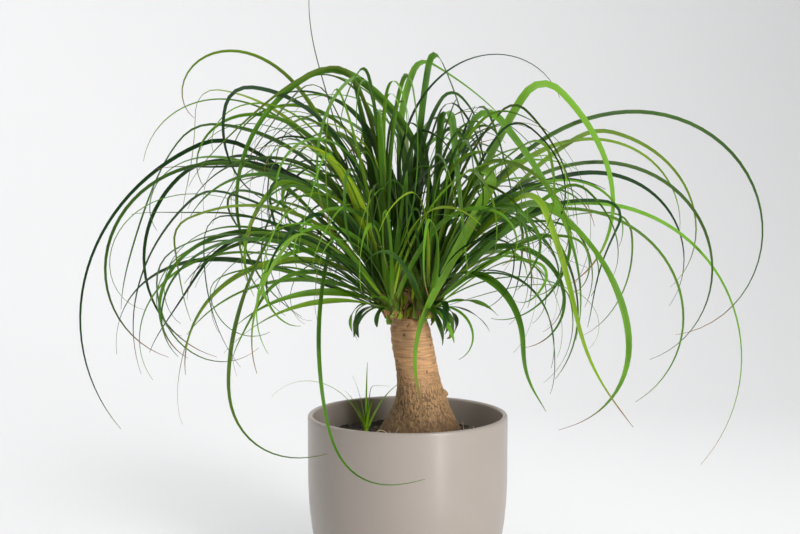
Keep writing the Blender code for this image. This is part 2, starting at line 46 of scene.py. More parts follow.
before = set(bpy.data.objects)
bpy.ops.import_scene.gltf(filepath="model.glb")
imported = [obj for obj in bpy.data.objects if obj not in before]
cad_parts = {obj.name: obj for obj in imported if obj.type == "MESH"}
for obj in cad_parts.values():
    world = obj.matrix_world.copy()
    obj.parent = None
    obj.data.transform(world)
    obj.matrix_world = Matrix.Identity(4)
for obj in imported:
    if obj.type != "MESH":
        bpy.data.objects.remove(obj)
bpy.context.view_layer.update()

# ---------------------------------------------------------------- sizes shared with the solids

GAP = 0.0004                    # left between touching pieces
POT_RADIUS = 0.095
POT_HEIGHT = 0.170
POT_WALL = 0.0050
POT_FLOOR = 0.0080
POT_STRAIGHT = 0.050            # height of the straight band below the rim
POT_DRAW_IN = 0.020             # how much narrower the base is than the rim
POT_DRAW_POWER = 2.4
POT_BASE_ROUND = 0.008

SOIL_TOP = 0.1445
SOIL_BUMP = 0.0016

# Height of a station on the trunk, its centre's X and its radius, from the blunt foot to the top
TRUNK_STATIONS = (
    (0.104, 0.0110, 0.0280),
    (0.112, 0.0110, 0.0380),
    (0.128, 0.0110, 0.0430),
    (0.145, 0.0110, 0.0432),
    (0.152, 0.0115, 0.0405),
    (0.165, 0.0125, 0.0335),
    (0.180, 0.0128, 0.0270),
    (0.195, 0.0115, 0.0225),
    (0.215, 0.0085, 0.0196),
    (0.240, 0.0040, 0.0186),
    (0.256, 0.0020, 0.0174),
    (0.2620, 0.0016, 0.0160),
)
TRUNK_FOOT = TRUNK_STATIONS[0][0]
TRUNK_TOP = TRUNK_STATIONS[-1][0]
RING_PITCH = 0.0092             # between the ring scars of the upper trunk
STUB = ((-0.0040, 0.0005), 0.0030, 0.0270)     # dried stem end: place, radius, height

PARTING_Y = 0.0040              # where the surface that parts the two sprays crosses the middle
PARTING_SLOPE = 0.36
PARTING_ROUND = 0.020
PARTING_EASE = 0.008

CROWN_X = -0.045                # middle of the room that drawn blades keep to
CROWN_WAIST = 0.30              # height below which the room is a drum and above which it is a dome
CROWN_DOME = (0.265, 0.21, 0.215)               # half sizes of the dome
CROWN_DRUM = (0.255, 0.19)                      # half sizes of the drum
HANG_NEAR = 0.292               # how low drawn blades may hang beside the trunk
HANG_DROP = 0.13                # how much lower they may hang out to the sides
HANG_SPAN = (0.045, 0.12)       # how far out they start to, and over what width
GOLDEN_TURN = 0.618034          # share of a turn from one drawn blade to the next

ROOT_REACH = (0.002, 0.008)     # of a blade's root from its head's middle, youngest and what age adds
BLADE_STEPS = 48                # points along a blade's line
FOLD_EASE = 0.11                # share of a blade's length over which it folds
TWIST_SPAN = 0.45               # share of a blade's length over which it twists

SPROUT_PLACE = (-0.040, 0.010)

# ---------------------------------------------------------------- sizes of this script's own detail

INNER_LEVELS = (0.162, 0.150, 0.135, 0.120, 0.105, 0.090, 0.075, 0.060, 0.046, 0.032, 0.020, POT_FLOOR)
LIP_ROUND = 0.46 * POT_WALL
FLOOR_ROUND = 0.0050
FOOT_RING = 0.0060              # width of the ring that the pot stands on
RECESS = 0.0012                 # how deep the pot's underside is sunk inside that ring
SOIL_RINGS = 44                 # rings of faces over the top of the mix
LITTER_REACH = 0.086            # how far from the middle anything loose lies

BARK_START = (0.140, 0.008)     # height at which the bark's relief sets in, and over how much
PLATES_END = (0.180, 0.058)     # height at which plates give way to wrinkles, and over how much
LUMP_RISE = 0.0010              # of the broad lumps of the foot
RING_RISE = 0.00026             # of the ring scars
CREASE_DEPTH = 0.0005           # of the deepest wrinkles
PLATE_RISE = 0.0004             # how much plates differ in height
FIBRE_RISE = 0.00022            # of the fibres on the plates
WRINKLE_PITCH = (46, 46, 560)   # how often the level wrinkles of the upper bark come, along each axis
PLATE_PITCH = (620, 620, 165)   # and the upright plates of the lower bark
CRACK_WIDTH = 0.16              # of the cracks between plates, as a share of a plate

BLADE_TIP = 0.0004              # width of a blade at its tip
BLADE_THIN = 0.00022            # least thickness
OPENING_SPAN = 0.12             # share of its length over which a blade widens from its root
SCALE_COUNT = 26                # dry scales round each head

ALGAE = (0.045, 0.075, 0.014)   # green film on the damp mix
BLOTCH = (0.40, 0.235, 0.14)    # on the upper bark
PAINTED_SIDE_SHADE = (0.17, 0.115, 0.045)                # painted shade on the bark's left side, away from the window
FOOT_DARKENING = (0.105, 0.055, 0.018)              # darker towards the foot of the bark
LEAF_ROOT = (0.50, 0.56, 0.13)
LEAF_GLOW = (0.24, 0.52, 0.02)  # light that passes through a leaf
ROOTLET = ((0.16, 0.095, 0.045), (0.66, 0.52, 0.33))            # darkest and lightest
PAPER = (0.84, 0.84, 0.845)

TUFTS = 1500                    # places tried for a tuft of moss
STRAND_STEPS = 64               # points along a strand's line
STRAND_EASING = 40              # rounds of easing that turn its corners into a curve
STRAND_TIP = 0.3                # girth left at its end
STRAND_GIRTH = 0.00042          # radius of a rootlet or straw
STRAND_GROUND = (0, -0.052, SOIL_TOP + 0.001)   # what the corners of the strands are measured from


class Head(NamedTuple):
    """A leaf head: its foot on the trunk, its crown's middle, its girth and the spray it belongs to."""

    foot: tuple
    crown: tuple
    foot_radius: float
    crown_radius: float
    spray: str


HEAD_FOOT = TRUNK_TOP + GAP
HEADS = {
    "left": Head((-0.012, -0.012, HEAD_FOOT), (-0.022, -0.016, 0.302), 0.0095, 0.0130, "front"),
    "right": Head((0.014, -0.011, HEAD_FOOT), (0.022, -0.016, 0.302), 0.0095, 0.0130, "front"),
    "back": Head((0.001, 0.015, HEAD_FOOT), (0.001, 0.025, 0.306), 0.0085, 0.0120, "back"),
}


class Leaf(NamedTuple):
    """A strap leaf: angles in degrees, azimuth from +X towards +Y, lengths in metres."""

    head: str
    azimuth: float
    lift: float                 # climb at the root
    length: float
    bend: float                 # how far it has bowed over at the tip
    ease: float                 # 1 bows evenly, more bows late
    width: float
    sway: float = 0.0           # turn in plan from root to tip
    fold: float = 0.0           # one sharp fold
    fold_at: float = 0.5        # where the fold is, from 0 at the root to 1 at the tip
    flick: float = 0.0          # lift of the last third
    twist: float = 60.0         # roll of its face, reached by the middle
    age: float = 0.35           # 0 innermost, 1 outermost
    taper: float = 1.6          # power of the narrowing: high for a blunt, cut blade
    tone: float = -1.0          # 0 deep green, 1 light green, below 0 left to chance
    fresh: float = -1.0         # 0 green, 1 yellow-green, below 0 left to chance


# The long leaves that give the crown its outline
LANDMARKS = (
    Leaf("left", 178, 72, 0.370, 215, 3.8, 0.0065),
    Leaf("left", 181, 60, 0.550, 150, 1.4, 0.005, 0, 40, 0.38),
    Leaf("left", 190, 36, 0.310, 185, 2.0, 0.008),
    Leaf("left", 216, 38, 0.400, 80, 1.6, 0.008, -45, 84, 0.30, -70, taper=1.1),
    Leaf("left", 199, 55, 0.374, 0, 1.0, 0.008, 152, 122, 0.20, 84, 30, tone=0.45, fresh=0.05, taper=0.9),
    Leaf("right", 188, 105, 0.530, 208, 1.2, 0.009, 0, 45, 0.46, tone=0.5, fresh=0.0),
    Leaf("left", 180, 91, 0.245, 130, 4.2, 0.006),
    Leaf("left", 190, 64, 0.460, 225, 1.5, 0.006),
    Leaf("left", 174, 67, 0.465, 215, 1.4, 0.006, 0, 18),
    Leaf("right", 3, 67, 0.590, 240, 1.6, 0.006),
    Leaf("right", 0, 68, 0.445, 125, 3.0, 0.010, 0, 94, 0.49, tone=0.7, fresh=0.15, taper=2.4),
    Leaf("right", 12, 52, 0.440, 165, 2.5, 0.006, 0, 30),
    Leaf("right", 5, 62, 0.485, 224, 1.5, 0.006),
    Leaf("right", 13, 54, 0.390, 182, 1.8, 0.006),
    Leaf("right", 8, 55, 0.530, 188, 1.1, 0.005),
    Leaf("right", -22, 60, 0.400, 138, 1.1, 0.0085, 0, 48, 0.33, -36, 40, tone=0.5, fresh=0.1, taper=3.0),
    Leaf("right", -6, 56, 0.405, 204, 1.3, 0.005),
    Leaf("right", -32, 52, 0.360, 45, 1.0, 0.008, 0, 98, 0.38, 42),
    Leaf("right", -41, 45, 0.205, 195, 1.0, 0.009, 0, 0, 0.50, 95),
    Leaf("right", -52, 66, 0.380, 0, 1.0, 0.0105, 72, 184, 0.345, 47, 60, tone=0.6, fresh=0.2, taper=3.0),
    Leaf("left", 240, 63, 0.215, 80, 2.4, 0.014, twist=10, tone=1.0, fresh=1.0),
    Leaf("left", 203, 62, 0.260, 120, 1.8, 0.011, 0, 60, 0.55, tone=0.7, fresh=0.3),
    Leaf("left", 173, 74, 0.315, 0, 1.0, 0.0018, 0, 0, 0.50, 22),
    Leaf("right", -60, 84, 0.325, 0, 1.0, 0.011, 0, 163, 0.52, twist=15, tone=0.6, fresh=0.0),
    Leaf("back", 140, 84, 0.350, 60, 1.8, 0.011, -150, 75, 0.66, tone=0.6, fresh=0.1),
    Leaf("back", 60, 86, 0.385, 50, 2.0, 0.011, 0, 108, 0.60, tone=0.4, fresh=0.0),
    Leaf("right", -15, 78, 0.410, 60, 3.0, 0.009, 0, 122, 0.42, tone=0.6, fresh=0.0),
    Leaf("left", 195, 34, 0.250, 130, 1.3, 0.009),
    Leaf("left", 210, 16, 0.170, 60, 1.2, 0.008, twist=40, age=0.9),
    Leaf("left", 185, 74, 0.315, 200, 2.6, 0.007),
    Leaf("left", -40, 95, 0.175, 95, 1.3, 0.011, twist=40, tone=0.3, fresh=0.0),
    Leaf("left", -25, 88, 0.185, 78, 1.3, 0.009, twist=40, tone=0.2, fresh=0.0),
    Leaf("left", 195, 86, 0.215, 15, 2.0, 0.012, 0, 60, 0.93, tone=0.4, fresh=0.1),
    Leaf("right", -12, 84, 0.175, 20, 2.0, 0.011, tone=0.1, fresh=0.0),
    Leaf("left", 205, 22, 0.150, 60, 1.2, 0.009, twist=-40, age=0.8),
    Leaf("left", 198, 26, 0.200, 78, 1.3, 0.010, twist=40, age=0.7),
    Leaf("left", 194, 46, 0.210, 100, 1.3, 0.008),
    Leaf("right", -8, 54, 0.225, 225, 1.4, 0.007),
    Leaf("right", -20, 10, 0.080, 165, 1.2, 0.003, age=0.9),
    Leaf("right", 10, 66, 0.360, 160, 1.8, 0.007),
    Leaf("left", 169, 70, 0.360, 150, 2.2, 0.003),
    Leaf("back", 0, 103, 0.350, 172, 2.0, 0.003),
    Leaf("back", 84, 62, 0.280, 175, 1.5, 0.007),
    Leaf("back", 116, 58, 0.285, 165, 1.6, 0.006),
)

# The sprout's blades, all from its own bulb
SPROUT_BLADES = (
    Leaf("left", 168, 76, 0.125, 125, 1.2, 0.0018, twist=0),
    Leaf("left", 190, 84, 0.060, 20, 2.0, 0.0042, twist=0),
    Leaf("left", 215, 74, 0.052, 35, 2.0, 0.0038, twist=0),
    Leaf("left", 20, 86, 0.066, 15, 2.0, 0.0034, 0, 80, 0.72, twist=0),
    Leaf("left", 32, 68, 0.078, 60, 1.5, 0.0030, twist=0),
    Leaf("left", 300, 80, 0.042, 40, 2.0, 0.0036, twist=0),
    Leaf("left", 80, 88, 0.070, 12, 2.0, 0.0022, twist=0),
)


# ---------------------------------------------------------------- settings

class PotSettings(bpy.types.PropertyGroup):
    """Fineness and glaze of the pot."""

    sides: IntProperty(name="Sides", description="Flats round the pot", default=144, min=24)
    glaze: FloatVectorProperty(
        name="Glaze", description="Colour of the satin glaze", subtype="COLOR", default=(0.37, 0.32, 0.28)
    )
    roughness: FloatProperty(
        name="Roughness", description="How satin the glaze is", subtype="FACTOR", default=0.30, min=0, max=1
    )


class SoilSettings(bpy.types.PropertyGroup):
    """Surface of the potting mix."""

    chips: IntProperty(name="Chips", description="Loose bits of bark and pumice", default=420, min=0)
    chip_size: FloatProperty(
        name="Chip size", description="Typical length of a loose bit", unit="LENGTH", default=0.0034
    )
    dark: FloatVectorProperty(
        name="Damp", description="Colour of the damp mix", subtype="COLOR", default=(0.014, 0.010, 0.007)
    )
    light: FloatVectorProperty(
        name="Dry", description="Colour of its dry crumbs", subtype="COLOR", default=(0.085, 0.058, 0.036)
    )


class TrunkSettings(bpy.types.PropertyGroup):
    """Relief and colours of the bark."""

    wrinkle: FloatProperty(
        name="Wrinkles", description="Depth of the fine level wrinkles", unit="LENGTH", default=0.00042
    )
    fissure: FloatProperty(
        name="Fissures", description="Depth between the plates of the foot", unit="LENGTH", default=0.0007
    )
    tan: FloatVectorProperty(
        name="Tan", description="Colour of the upper bark", subtype="COLOR", default=(0.64, 0.355, 0.165)
    )
    brown: FloatVectorProperty(
        name="Brown", description="Colour of the lower plates", subtype="COLOR", default=(0.42, 0.25, 0.115)
    )
    # Cracks: colour of the fissures, also used for painted shade in creases and hollows
    crack: FloatVectorProperty(
        name="Cracks", description="Colour in the fissures", subtype="COLOR", default=(0.115, 0.060, 0.030)
    )
    moss: FloatVectorProperty(
        name="Moss", description="Colour of the moss at the foot", subtype="COLOR", default=(0.10, 0.16, 0.02)
    )


class LeafSettings(bpy.types.PropertyGroup):
    """How many blades grow, and their colours."""

    front_seed: IntProperty(name="Front seed", description="Draws the blades of the front heads", default=58)
    back_seed: IntProperty(name="Back seed", description="Draws the blades of the rear head", default=27)
    front: IntProperty(name="Front", description="Blades of the two front heads", default=46, min=1)
    back: IntProperty(name="Back", description="Blades of the rear head", default=42, min=1)
    skirt: IntProperty(name="Skirt", description="Short blades round the front heads' feet", default=5, min=1)
    filler: IntProperty(name="Filler", description="Further blades inside the crown", default=100, min=0)
    fine: IntProperty(name="Fine", description="Further thin blades of the outer arcs", default=46, min=0)
    thickness: FloatProperty(
        name="Thickness", description="Of a blade at its root", unit="LENGTH", default=0.0009
    )
    deep: FloatVectorProperty(
        name="Deep", description="Darkest green", subtype="COLOR", default=(0.002, 0.040, 0.0005)
    )
    light: FloatVectorProperty(
        name="Light", description="Light green", subtype="COLOR", default=(0.16, 0.40, 0.014)
    )
    fresh: FloatVectorProperty(
        name="Fresh", description="Yellow-green of new blades", subtype="COLOR", default=(0.42, 0.58, 0.020)
    )
    dry: FloatVectorProperty(
        name="Dry", description="Brown of dry tips and scales", subtype="COLOR", default=(0.26, 0.145, 0.055)
    )


class StageSettings(bpy.types.PropertyGroup):
    """Camera and light."""

    lens: FloatProperty(name="Lens", description="Focal length", unit="CAMERA", default=55.0)
    place: FloatVectorProperty(
        name="Camera", description="Place of the camera", subtype="TRANSLATION",
        default=(-0.0073, -1.15178, 0.39388),
    )
    dip: FloatProperty(
        name="Dip", description="How far the camera looks down", subtype="ANGLE", default=math.radians(4.19)
    )
    key: FloatProperty(name="Key", description="Power of the window light", unit="POWER", default=44.0)
    sky: FloatProperty(name="Sky", description="Strength of the light from all round", default=0.17)


# ---------------------------------------------------------------- how the leaves grow

def smooth(x):
    """0 below 0, 1 above 1 and an eased step between."""
    x = np.clip(x, 0.0, 1.0)
    return x * x * (3 - 2 * x)


def spray_side(leaf):
    """+1 for the spray behind the parting surface, -1 for the one in front."""
    return 1 if HEADS[leaf.head].spray == "back" else -1


def beside(middle, azimuth, reach):
    """The point that lies level with another, this far from it at an azimuth."""
    out = math.radians(azimuth)
    return middle + reach * np.array([math.cos(out), math.sin(out), 0.0])


def root_of(leaf):
    """The blade's first point, sunk in its head: old leaves low and outside, young ones at the top."""
    head = HEADS[leaf.head]
    foot, crown = np.array(head.foot), np.array(head.crown)
    middle = crown + (foot - crown) * (0.05 + 0.75 * leaf.age)
    return beside(middle, leaf.azimuth, ROOT_REACH[0] + ROOT_REACH[1] * leaf.age)


def leaf_line(leaf, root):
    """Points along the middle of a blade from its root, and the way each faces in plan, in radians."""
    u = (np.arange(BLADE_STEPS) + 0.5) / BLADE_STEPS
    fold = leaf.fold * smooth((u - leaf.fold_at) / FOLD_EASE + 0.5)
    flick = leaf.flick * smooth((u - 0.65) / 0.35)
    climb = leaf.lift - leaf.bend * u ** leaf.ease - fold + flick
    climb, heading = np.radians(climb), np.radians(leaf.azimuth + leaf.sway * u)
    step = np.stack([np.cos(climb) * np.cos(heading), np.cos(climb) * np.sin(heading), np.sin(climb)], axis=1)
    points = np.vstack([root, root + np.cumsum(step, axis=0) * leaf.length / BLADE_STEPS])
    return points, np.append(heading[0], heading)


def keep_clear(points, side, room):
    """Ease the points along Y until they are on their own side of the parting surface."""
    x = points[:, 0]
    parting = PARTING_Y + PARTING_SLOPE * (np.sqrt(x * x + PARTING_ROUND ** 2) - PARTING_ROUND)
    spare = side * (points[:, 1] - parting) - room
    points[:, 1] += side * (0.5 * (spare + np.sqrt(spare * spare + PARTING_EASE ** 2)) - spare)


def blade_line(leaf):
    """The line of a blade of the crown, kept on its spray's side of the parting surface."""
    points, headings = leaf_line(leaf, root_of(leaf))
    keep_clear(points, spray_side(leaf), 0.55 * leaf.width + 0.0012)
    return points, headings


def inside_crown(points):
    """Whether a blade stays under the crown's dome, and hangs low only out to the sides."""
    x, y, z = points.T
    above = z > CROWN_WAIST
    x_half, y_half, z_half = CROWN_DOME
    dome = ((x - CROWN_X) / x_half) ** 2 + (y / y_half) ** 2 + ((z - CROWN_WAIST) / z_half) ** 2
    drum = ((x - CROWN_X) / CROWN_DRUM[0]) ** 2 + (y / CROWN_DRUM[1]) ** 2
    lowest = HANG_NEAR - HANG_DROP * smooth((np.abs(x + 0.005) - HANG_SPAN[0]) / HANG_SPAN[1])
    hanging = (z < lowest)[10:]
    return not ((dome[above] > 1).any() or (drum[~above] > 1).any() or hanging.any())


def draw_leaf(rng, spray, turn, age):
    """One blade of a spray, at its share of the turn round the heads."""
    head = "back"
    azimuth = 12 + 156 * turn + rng.uniform(-6, 6)
    if spray == "front":
        azimuth = 172 + 196 * turn ** 1.25 + rng.uniform(-8, 8)
        sideways = math.cos(math.radians(azimuth))
        leaning = math.copysign(abs(sideways) ** 0.5, sideways)
        head = "left" if rng.random() < 0.5 - 0.5 * leaning else "right"
    return Leaf(
        head, azimuth,
        lift=92 - 66 * age ** 1.3 + rng.uniform(-9, 8),
        length=rng.uniform(0.20, 0.48),
        bend=rng.uniform(80, 215),
        ease=rng.uniform(1.3, 3.4),
        sway=rng.uniform(-45, 45),
        fold=rng.choice((0, 0, 0, 1)) * rng.uniform(30, 100),
        fold_at=rng.uniform(0.45, 0.75),
        flick=rng.choice((0, 0, 1)) * rng.uniform(20, 70),
        width=rng.uniform(0.0040, 0.0085) * (1 - 0.35 * max(0.0, -math.sin(math.radians(azimuth)))),
        twist=rng.choice((-1, 1)) * rng.uniform(15, 75),
        age=age,
    )


def draw_fitting(rng, spray, turn, age):
    """A blade of a spray, redrawn until it fits the crown."""
    leaf = draw_leaf(rng, spray, turn, age)
    while not inside_crown(blade_line(leaf)[0]):
        leaf = draw_leaf(rng, spray, turn, age)
    return leaf


def draw_skirt(rng, azimuth):
    """A short blade hanging at the foot of the front heads."""
    return Leaf(
        "left" if azimuth < 262 else "right", azimuth,
        lift=rng.uniform(-15, 30), length=rng.uniform(0.030, 0.070), bend=rng.uniform(70, 170),
        ease=1.2, sway=rng.uniform(-60, 60), width=rng.uniform(0.004, 0.007), twist=0, age=0.92, taper=9,
    )


def grow_leaves(sizes):
    """The blades that have solids: drawn ones, the skirt and the landmarks, in the solids' own order."""
    leaves = []
    draws = (("back", sizes.back, sizes.back_seed), ("front", sizes.front, sizes.front_seed))
    for spray, count, seed in draws:
        rng = random.Random(seed)
        for index in range(count):
            leaves.append(draw_fitting(rng, spray, (index * GOLDEN_TURN + 0.3) % 1, (index + 0.5) / count))
    for index in range(sizes.skirt):
        leaves.append(draw_skirt(rng, 176 + 188 * (index + 0.5) / sizes.skirt))
    return leaves + list(LANDMARKS)


def grow_more(sizes):
    """Further blades, too fine or too many for the solids: inner ones, thin arcs and skirt."""
    rng = random.Random(sizes.front_seed + 100)
    leaves = []
    for count, start, ages, widths in (
        (sizes.filler, 0.11, (0.05, 0.85), (0.003, 0.0065)),
        (sizes.fine, 0.57, (0.3, 1.0), (0.0012, 0.0030)),
    ):
        for index in range(count):
            spray = "back" if index % 3 == 2 else "front"
            leaf = draw_fitting(rng, spray, (index * GOLDEN_TURN + start) % 1, rng.uniform(*ages))
            leaves.append(leaf._replace(width=rng.uniform(*widths)))
    for index in range(2 * sizes.skirt):
        leaf = draw_skirt(rng, 150 + 240 * (index + 0.5) / (2 * sizes.skirt))
        leaves.append(leaf._replace(length=rng.uniform(0.020, 0.075), lift=rng.uniform(0, 55)))
    return leaves


# ---------------------------------------------------------------- handling a piece

def let_go():
    """Leave edit mode and deselect everything, so that an operator acts on one piece alone."""
    if bpy.context.object and bpy.context.object.mode != "OBJECT":
        bpy.ops.object.mode_set(mode="OBJECT")
    bpy.ops.object.select_all(action="DESELECT")


def take(piece):
    """Make the piece the only one selected."""
    let_go()
    piece.select_set(True)
    bpy.context.view_layer.objects.active = piece


@contextmanager
def editing(piece):
    """Edit mode on one piece."""
    take(piece)
    bpy.ops.object.mode_set(mode="EDIT")
    yield
    bpy.ops.object.mode_set(mode="OBJECT")


def settle(name):
    """Name the piece just added and move its place into its mesh."""
    piece = bpy.context.object
    piece.name = piece.data.name = name
    bpy.ops.object.transform_apply(location=True, rotation=True, scale=True)
    return piece


def pick(kind, test):
    """Select the faces or edges of the piece in edit mode that pass a test."""
    bpy.context.tool_settings.mesh_select_mode = (False, kind == "edges", kind == "faces")
    bpy.ops.mesh.select_all(action="DESELECT")
    mesh = bpy.context.object.data
    work = bmesh.from_edit_mesh(mesh)
    for part in getattr(work, kind):
        part.select_set(test(part))
    bmesh.update_edit_mesh(mesh)


def upright(edge):
    """Whether an edge climbs from one end to the other."""
    low, high = edge.verts
    return abs(low.co.z - high.co.z) > 0.5 * edge.calc_length()


def level_at(height):
    """A test for edges that lie level at a height."""
    return lambda edge: all(abs(corner.co.z - height) < 0.0002 for corner in edge.verts)


def add_cylinder(name, sides, radius, low, high):
    """A plain cylinder between two heights."""
    let_go()
    bpy.ops.mesh.primitive_cylinder_add(
        vertices=sides, radius=radius, depth=high - low, location=(0, 0, (low + high) / 2)
    )
    return settle(name)


def add_tube(name, sides, radius, low, high, cuts):
    """A cylinder whose wall is cut into level bands."""
    piece = add_cylinder(name, sides, radius, low, high)
    with editing(piece):
        pick("edges", upright)
        bpy.ops.mesh.subdivide(number_cuts=cuts)
    return piece


def modify(piece, kind, **settings):
    """Give the piece one modifier and apply it."""
    tool = piece.modifiers.new(kind.title(), kind)
    for key, value in settings.items():
        setattr(tool, key, value)
    take(piece)
    bpy.ops.object.modifier_apply(modifier=tool.name)


def points_of(piece):
    """The corners of a piece as rows of X, Y, Z."""
    flat = np.empty(3 * len(piece.data.vertices))
    piece.data.vertices.foreach_get("co", flat)
    return flat.reshape(-1, 3)


def put_points(piece, points):
    """Move the corners of a piece."""
    piece.data.vertices.foreach_set("co", np.asarray(points, dtype=float).ravel())
    piece.data.update()


def mark(piece, **looks):
    """Keep a number at every corner of a piece for its finish to read."""
    for name, values in looks.items():
        layer = piece.data.attributes.get(name) or piece.data.attributes.new(name, "FLOAT", "POINT")
        layer.data.foreach_set("value", np.broadcast_to(values, len(piece.data.vertices)).astype(np.float32))


def waver(points, *scale):
    """Smooth noise from about -1 to 1 at each point, drawn out by a scale for each axis."""
    return np.array([noise.noise(Vector(point)) for point in points * np.array(scale)])


def join(copies, name):
    """Make one piece of several."""
    let_go()
    for copy in copies:
        copy.select_set(True)
    bpy.context.view_layer.objects.active = copies[0]
    bpy.ops.object.join()
    piece = bpy.context.object
    piece.name = piece.data.name = name
    return piece


def copy_of(pattern):
    """A copy of a pattern with a mesh of its own."""
    made = pattern.copy()
    made.data = pattern.data.copy()
    bpy.context.scene.collection.objects.link(made)
    return made


def discard(*patterns):
    """Remove the patterns that copies were made of."""
    for pattern in patterns:
        bpy.data.objects.remove(pattern, do_unlink=True)


def dress(piece, finish, nodes=(), angle=45):
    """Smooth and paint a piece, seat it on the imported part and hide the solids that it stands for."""
    missing = [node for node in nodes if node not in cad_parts]
    if missing:
        raise RuntimeError(f"the packed part has no {missing}")
    take(piece)
    bpy.ops.object.shade_smooth_by_angle(angle=math.radians(angle))
    piece.data.materials.clear()
    piece.data.materials.append(finish)
    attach(piece, "root")
    if nodes:
        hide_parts(*nodes)


# ---------------------------------------------------------------- mixing a finish

class Value:
    """A number socket of a finish that can take part in sums."""

    def __init__(self, finish, socket):
        self.finish, self.socket = finish, socket

    def __add__(self, other):
        return self.finish.math("ADD", self, other)

    def __sub__(self, other):
        return self.finish.math("SUBTRACT", self, other)

    def __rsub__(self, other):
        return self.finish.math("SUBTRACT", other, self)

    def __mul__(self, other):
        return self.finish.math("MULTIPLY", self, other)

    def __abs__(self):
        return self.finish.math("ABSOLUTE", self)

    __radd__ = __add__
    __rmul__ = __mul__


class Finish:
    """A material and the nodes that it's mixed from."""

    def __init__(self, name, **constants):
        self.material = bpy.data.materials.new(name)
        self.material.use_nodes = True
        self.tree = self.material.node_tree
        self.shader = self.tree.nodes["Principled BSDF"]
        for key, value in constants.items():
            self.shader.inputs[key].default_value = value
        self.place = self.node("ShaderNodeTexCoord", output="Object")

    def node(self, kind, settings=None, sockets=None, output=0):
        """Any node: its type, its settings, and the values or links of its sockets."""
        made = self.tree.nodes.new(kind)
        for key, value in (settings or {}).items():
            setattr(made, key, value)
        for key, value in (sockets or {}).items():
            self.feed(made, key, value)
        return Value(self, made.outputs[output])

    def feed(self, made, key, value):
        """Set or link one socket, named by its number or its identifier."""
        by_name = {socket.identifier: socket for socket in made.inputs}
        socket = made.inputs[key] if isinstance(key, int) else by_name[key]
        if isinstance(value, Value):
            self.tree.links.new(value.socket, socket)
        elif socket.type == "RGBA":
            socket.default_value = (*value[:3], 1.0)
        else:
            socket.default_value = value

    def math(self, operation, *terms):
        """A sum on numbers or values."""
        return self.node("ShaderNodeMath", {"operation": operation}, dict(enumerate(terms)))

    def blend(self, first, second, amount):
        """Two colours mixed by an amount from 0 to 1."""
        sockets = {"Factor_Float": amount, "A_Color": first, "B_Color": second}
        return self.node("ShaderNodeMix", {"data_type": "RGBA"}, sockets, output=2)

    def ease(self, value, low, high):
        """0 where the value is at low, 1 where it is at high, eased between."""
        sockets = {"Value": value, "From Min": low, "From Max": high}
        return self.node("ShaderNodeMapRange", {"interpolation_type": "SMOOTHSTEP"}, sockets)

    def drawn_out(self, x, y, z):
        """The place on the piece, scaled along each axis."""
        return self.node("ShaderNodeMapping", None, {"Vector": self.place, "Scale": (x, y, z)})

    def noise(self, scale, detail=3.0, place=None):
        """Cloudy numbers from 0 to 1, about one half."""
        sockets = {"Vector": place or self.place, "Scale": scale, "Detail": detail}
        return self.node("ShaderNodeTexNoise", None, sockets)

    def cells(self, scale):
        """Distances from the nearest point of a scattered field."""
        return self.node("ShaderNodeTexVoronoi", None, {"Vector": self.place, "Scale": scale})

    def attribute(self, name):
        """A number kept at the corners of the piece."""
        return self.node("ShaderNodeAttribute", {"attribute_name": name}, output=2)

    def parts(self, place):
        """The three numbers of a place."""
        split = self.node("ShaderNodeSeparateXYZ", None, {"Vector": place}).socket.node
        return [Value(self, output) for output in split.outputs]

    def bumps(self, height, depth, strength):
        """Raise and sink the surface by a height from 0 to 1, to a depth in metres."""
        sockets = {"Strength": strength, "Distance": depth, "Height": height}
        self.feed(self.shader, "Normal", self.node("ShaderNodeBump", None, sockets))

    def paint(self, color, roughness):
        """Colour the surface, set how rough it is and hand over the material."""
        self.feed(self.shader, "Base Color", color)
        self.feed(self.shader, "Roughness", roughness)
        return self.material


def tinted(color, share):
    """A colour made lighter or darker."""
    return tuple(min(1.0, channel * share) for channel in color)


def glaze_finish(look):
    """Satin taupe glaze: hardly clouded, faintly flecked, with the soft pits that firing leaves."""
    glaze = Finish("satin_glaze")
    cloud = glaze.noise(26, 3)
    flecks = glaze.ease(glaze.cells(640), 0.16, 0.05) * glaze.ease(glaze.noise(210, 2), 0.50, 0.62)
    color = glaze.blend(tinted(look.glaze, 0.95), tinted(look.glaze, 1.05), cloud)
    color = glaze.blend(color, tinted(look.glaze, 0.62), flecks * 0.35)
    glaze.bumps(glaze.noise(230, 2), 0.0004, 0.10)
    return glaze.paint(color, look.roughness - 0.04 + 0.10 * glaze.noise(90, 2))


def soil_finish(look):
    """Dark damp potting mix with drier crumbs and pale bits of pumice."""
    soil = Finish("potting_mix")
    chip = soil.attribute("chip")
    crumbs = soil.noise(420, 5)
    color = soil.blend(look.dark, look.light, soil.ease(crumbs, 0.45, 0.75))
    color = soil.blend(color, tinted(look.light, 2.6), soil.ease(chip, 0.35, 1.0) * 0.85)
    color = soil.blend(color, ALGAE, soil.ease(soil.noise(75, 3), 0.56, 0.70) * 0.5)
    soil.bumps(crumbs, 0.0016, 0.7)
    return soil.paint(color, 0.97 - 0.18 * crumbs)


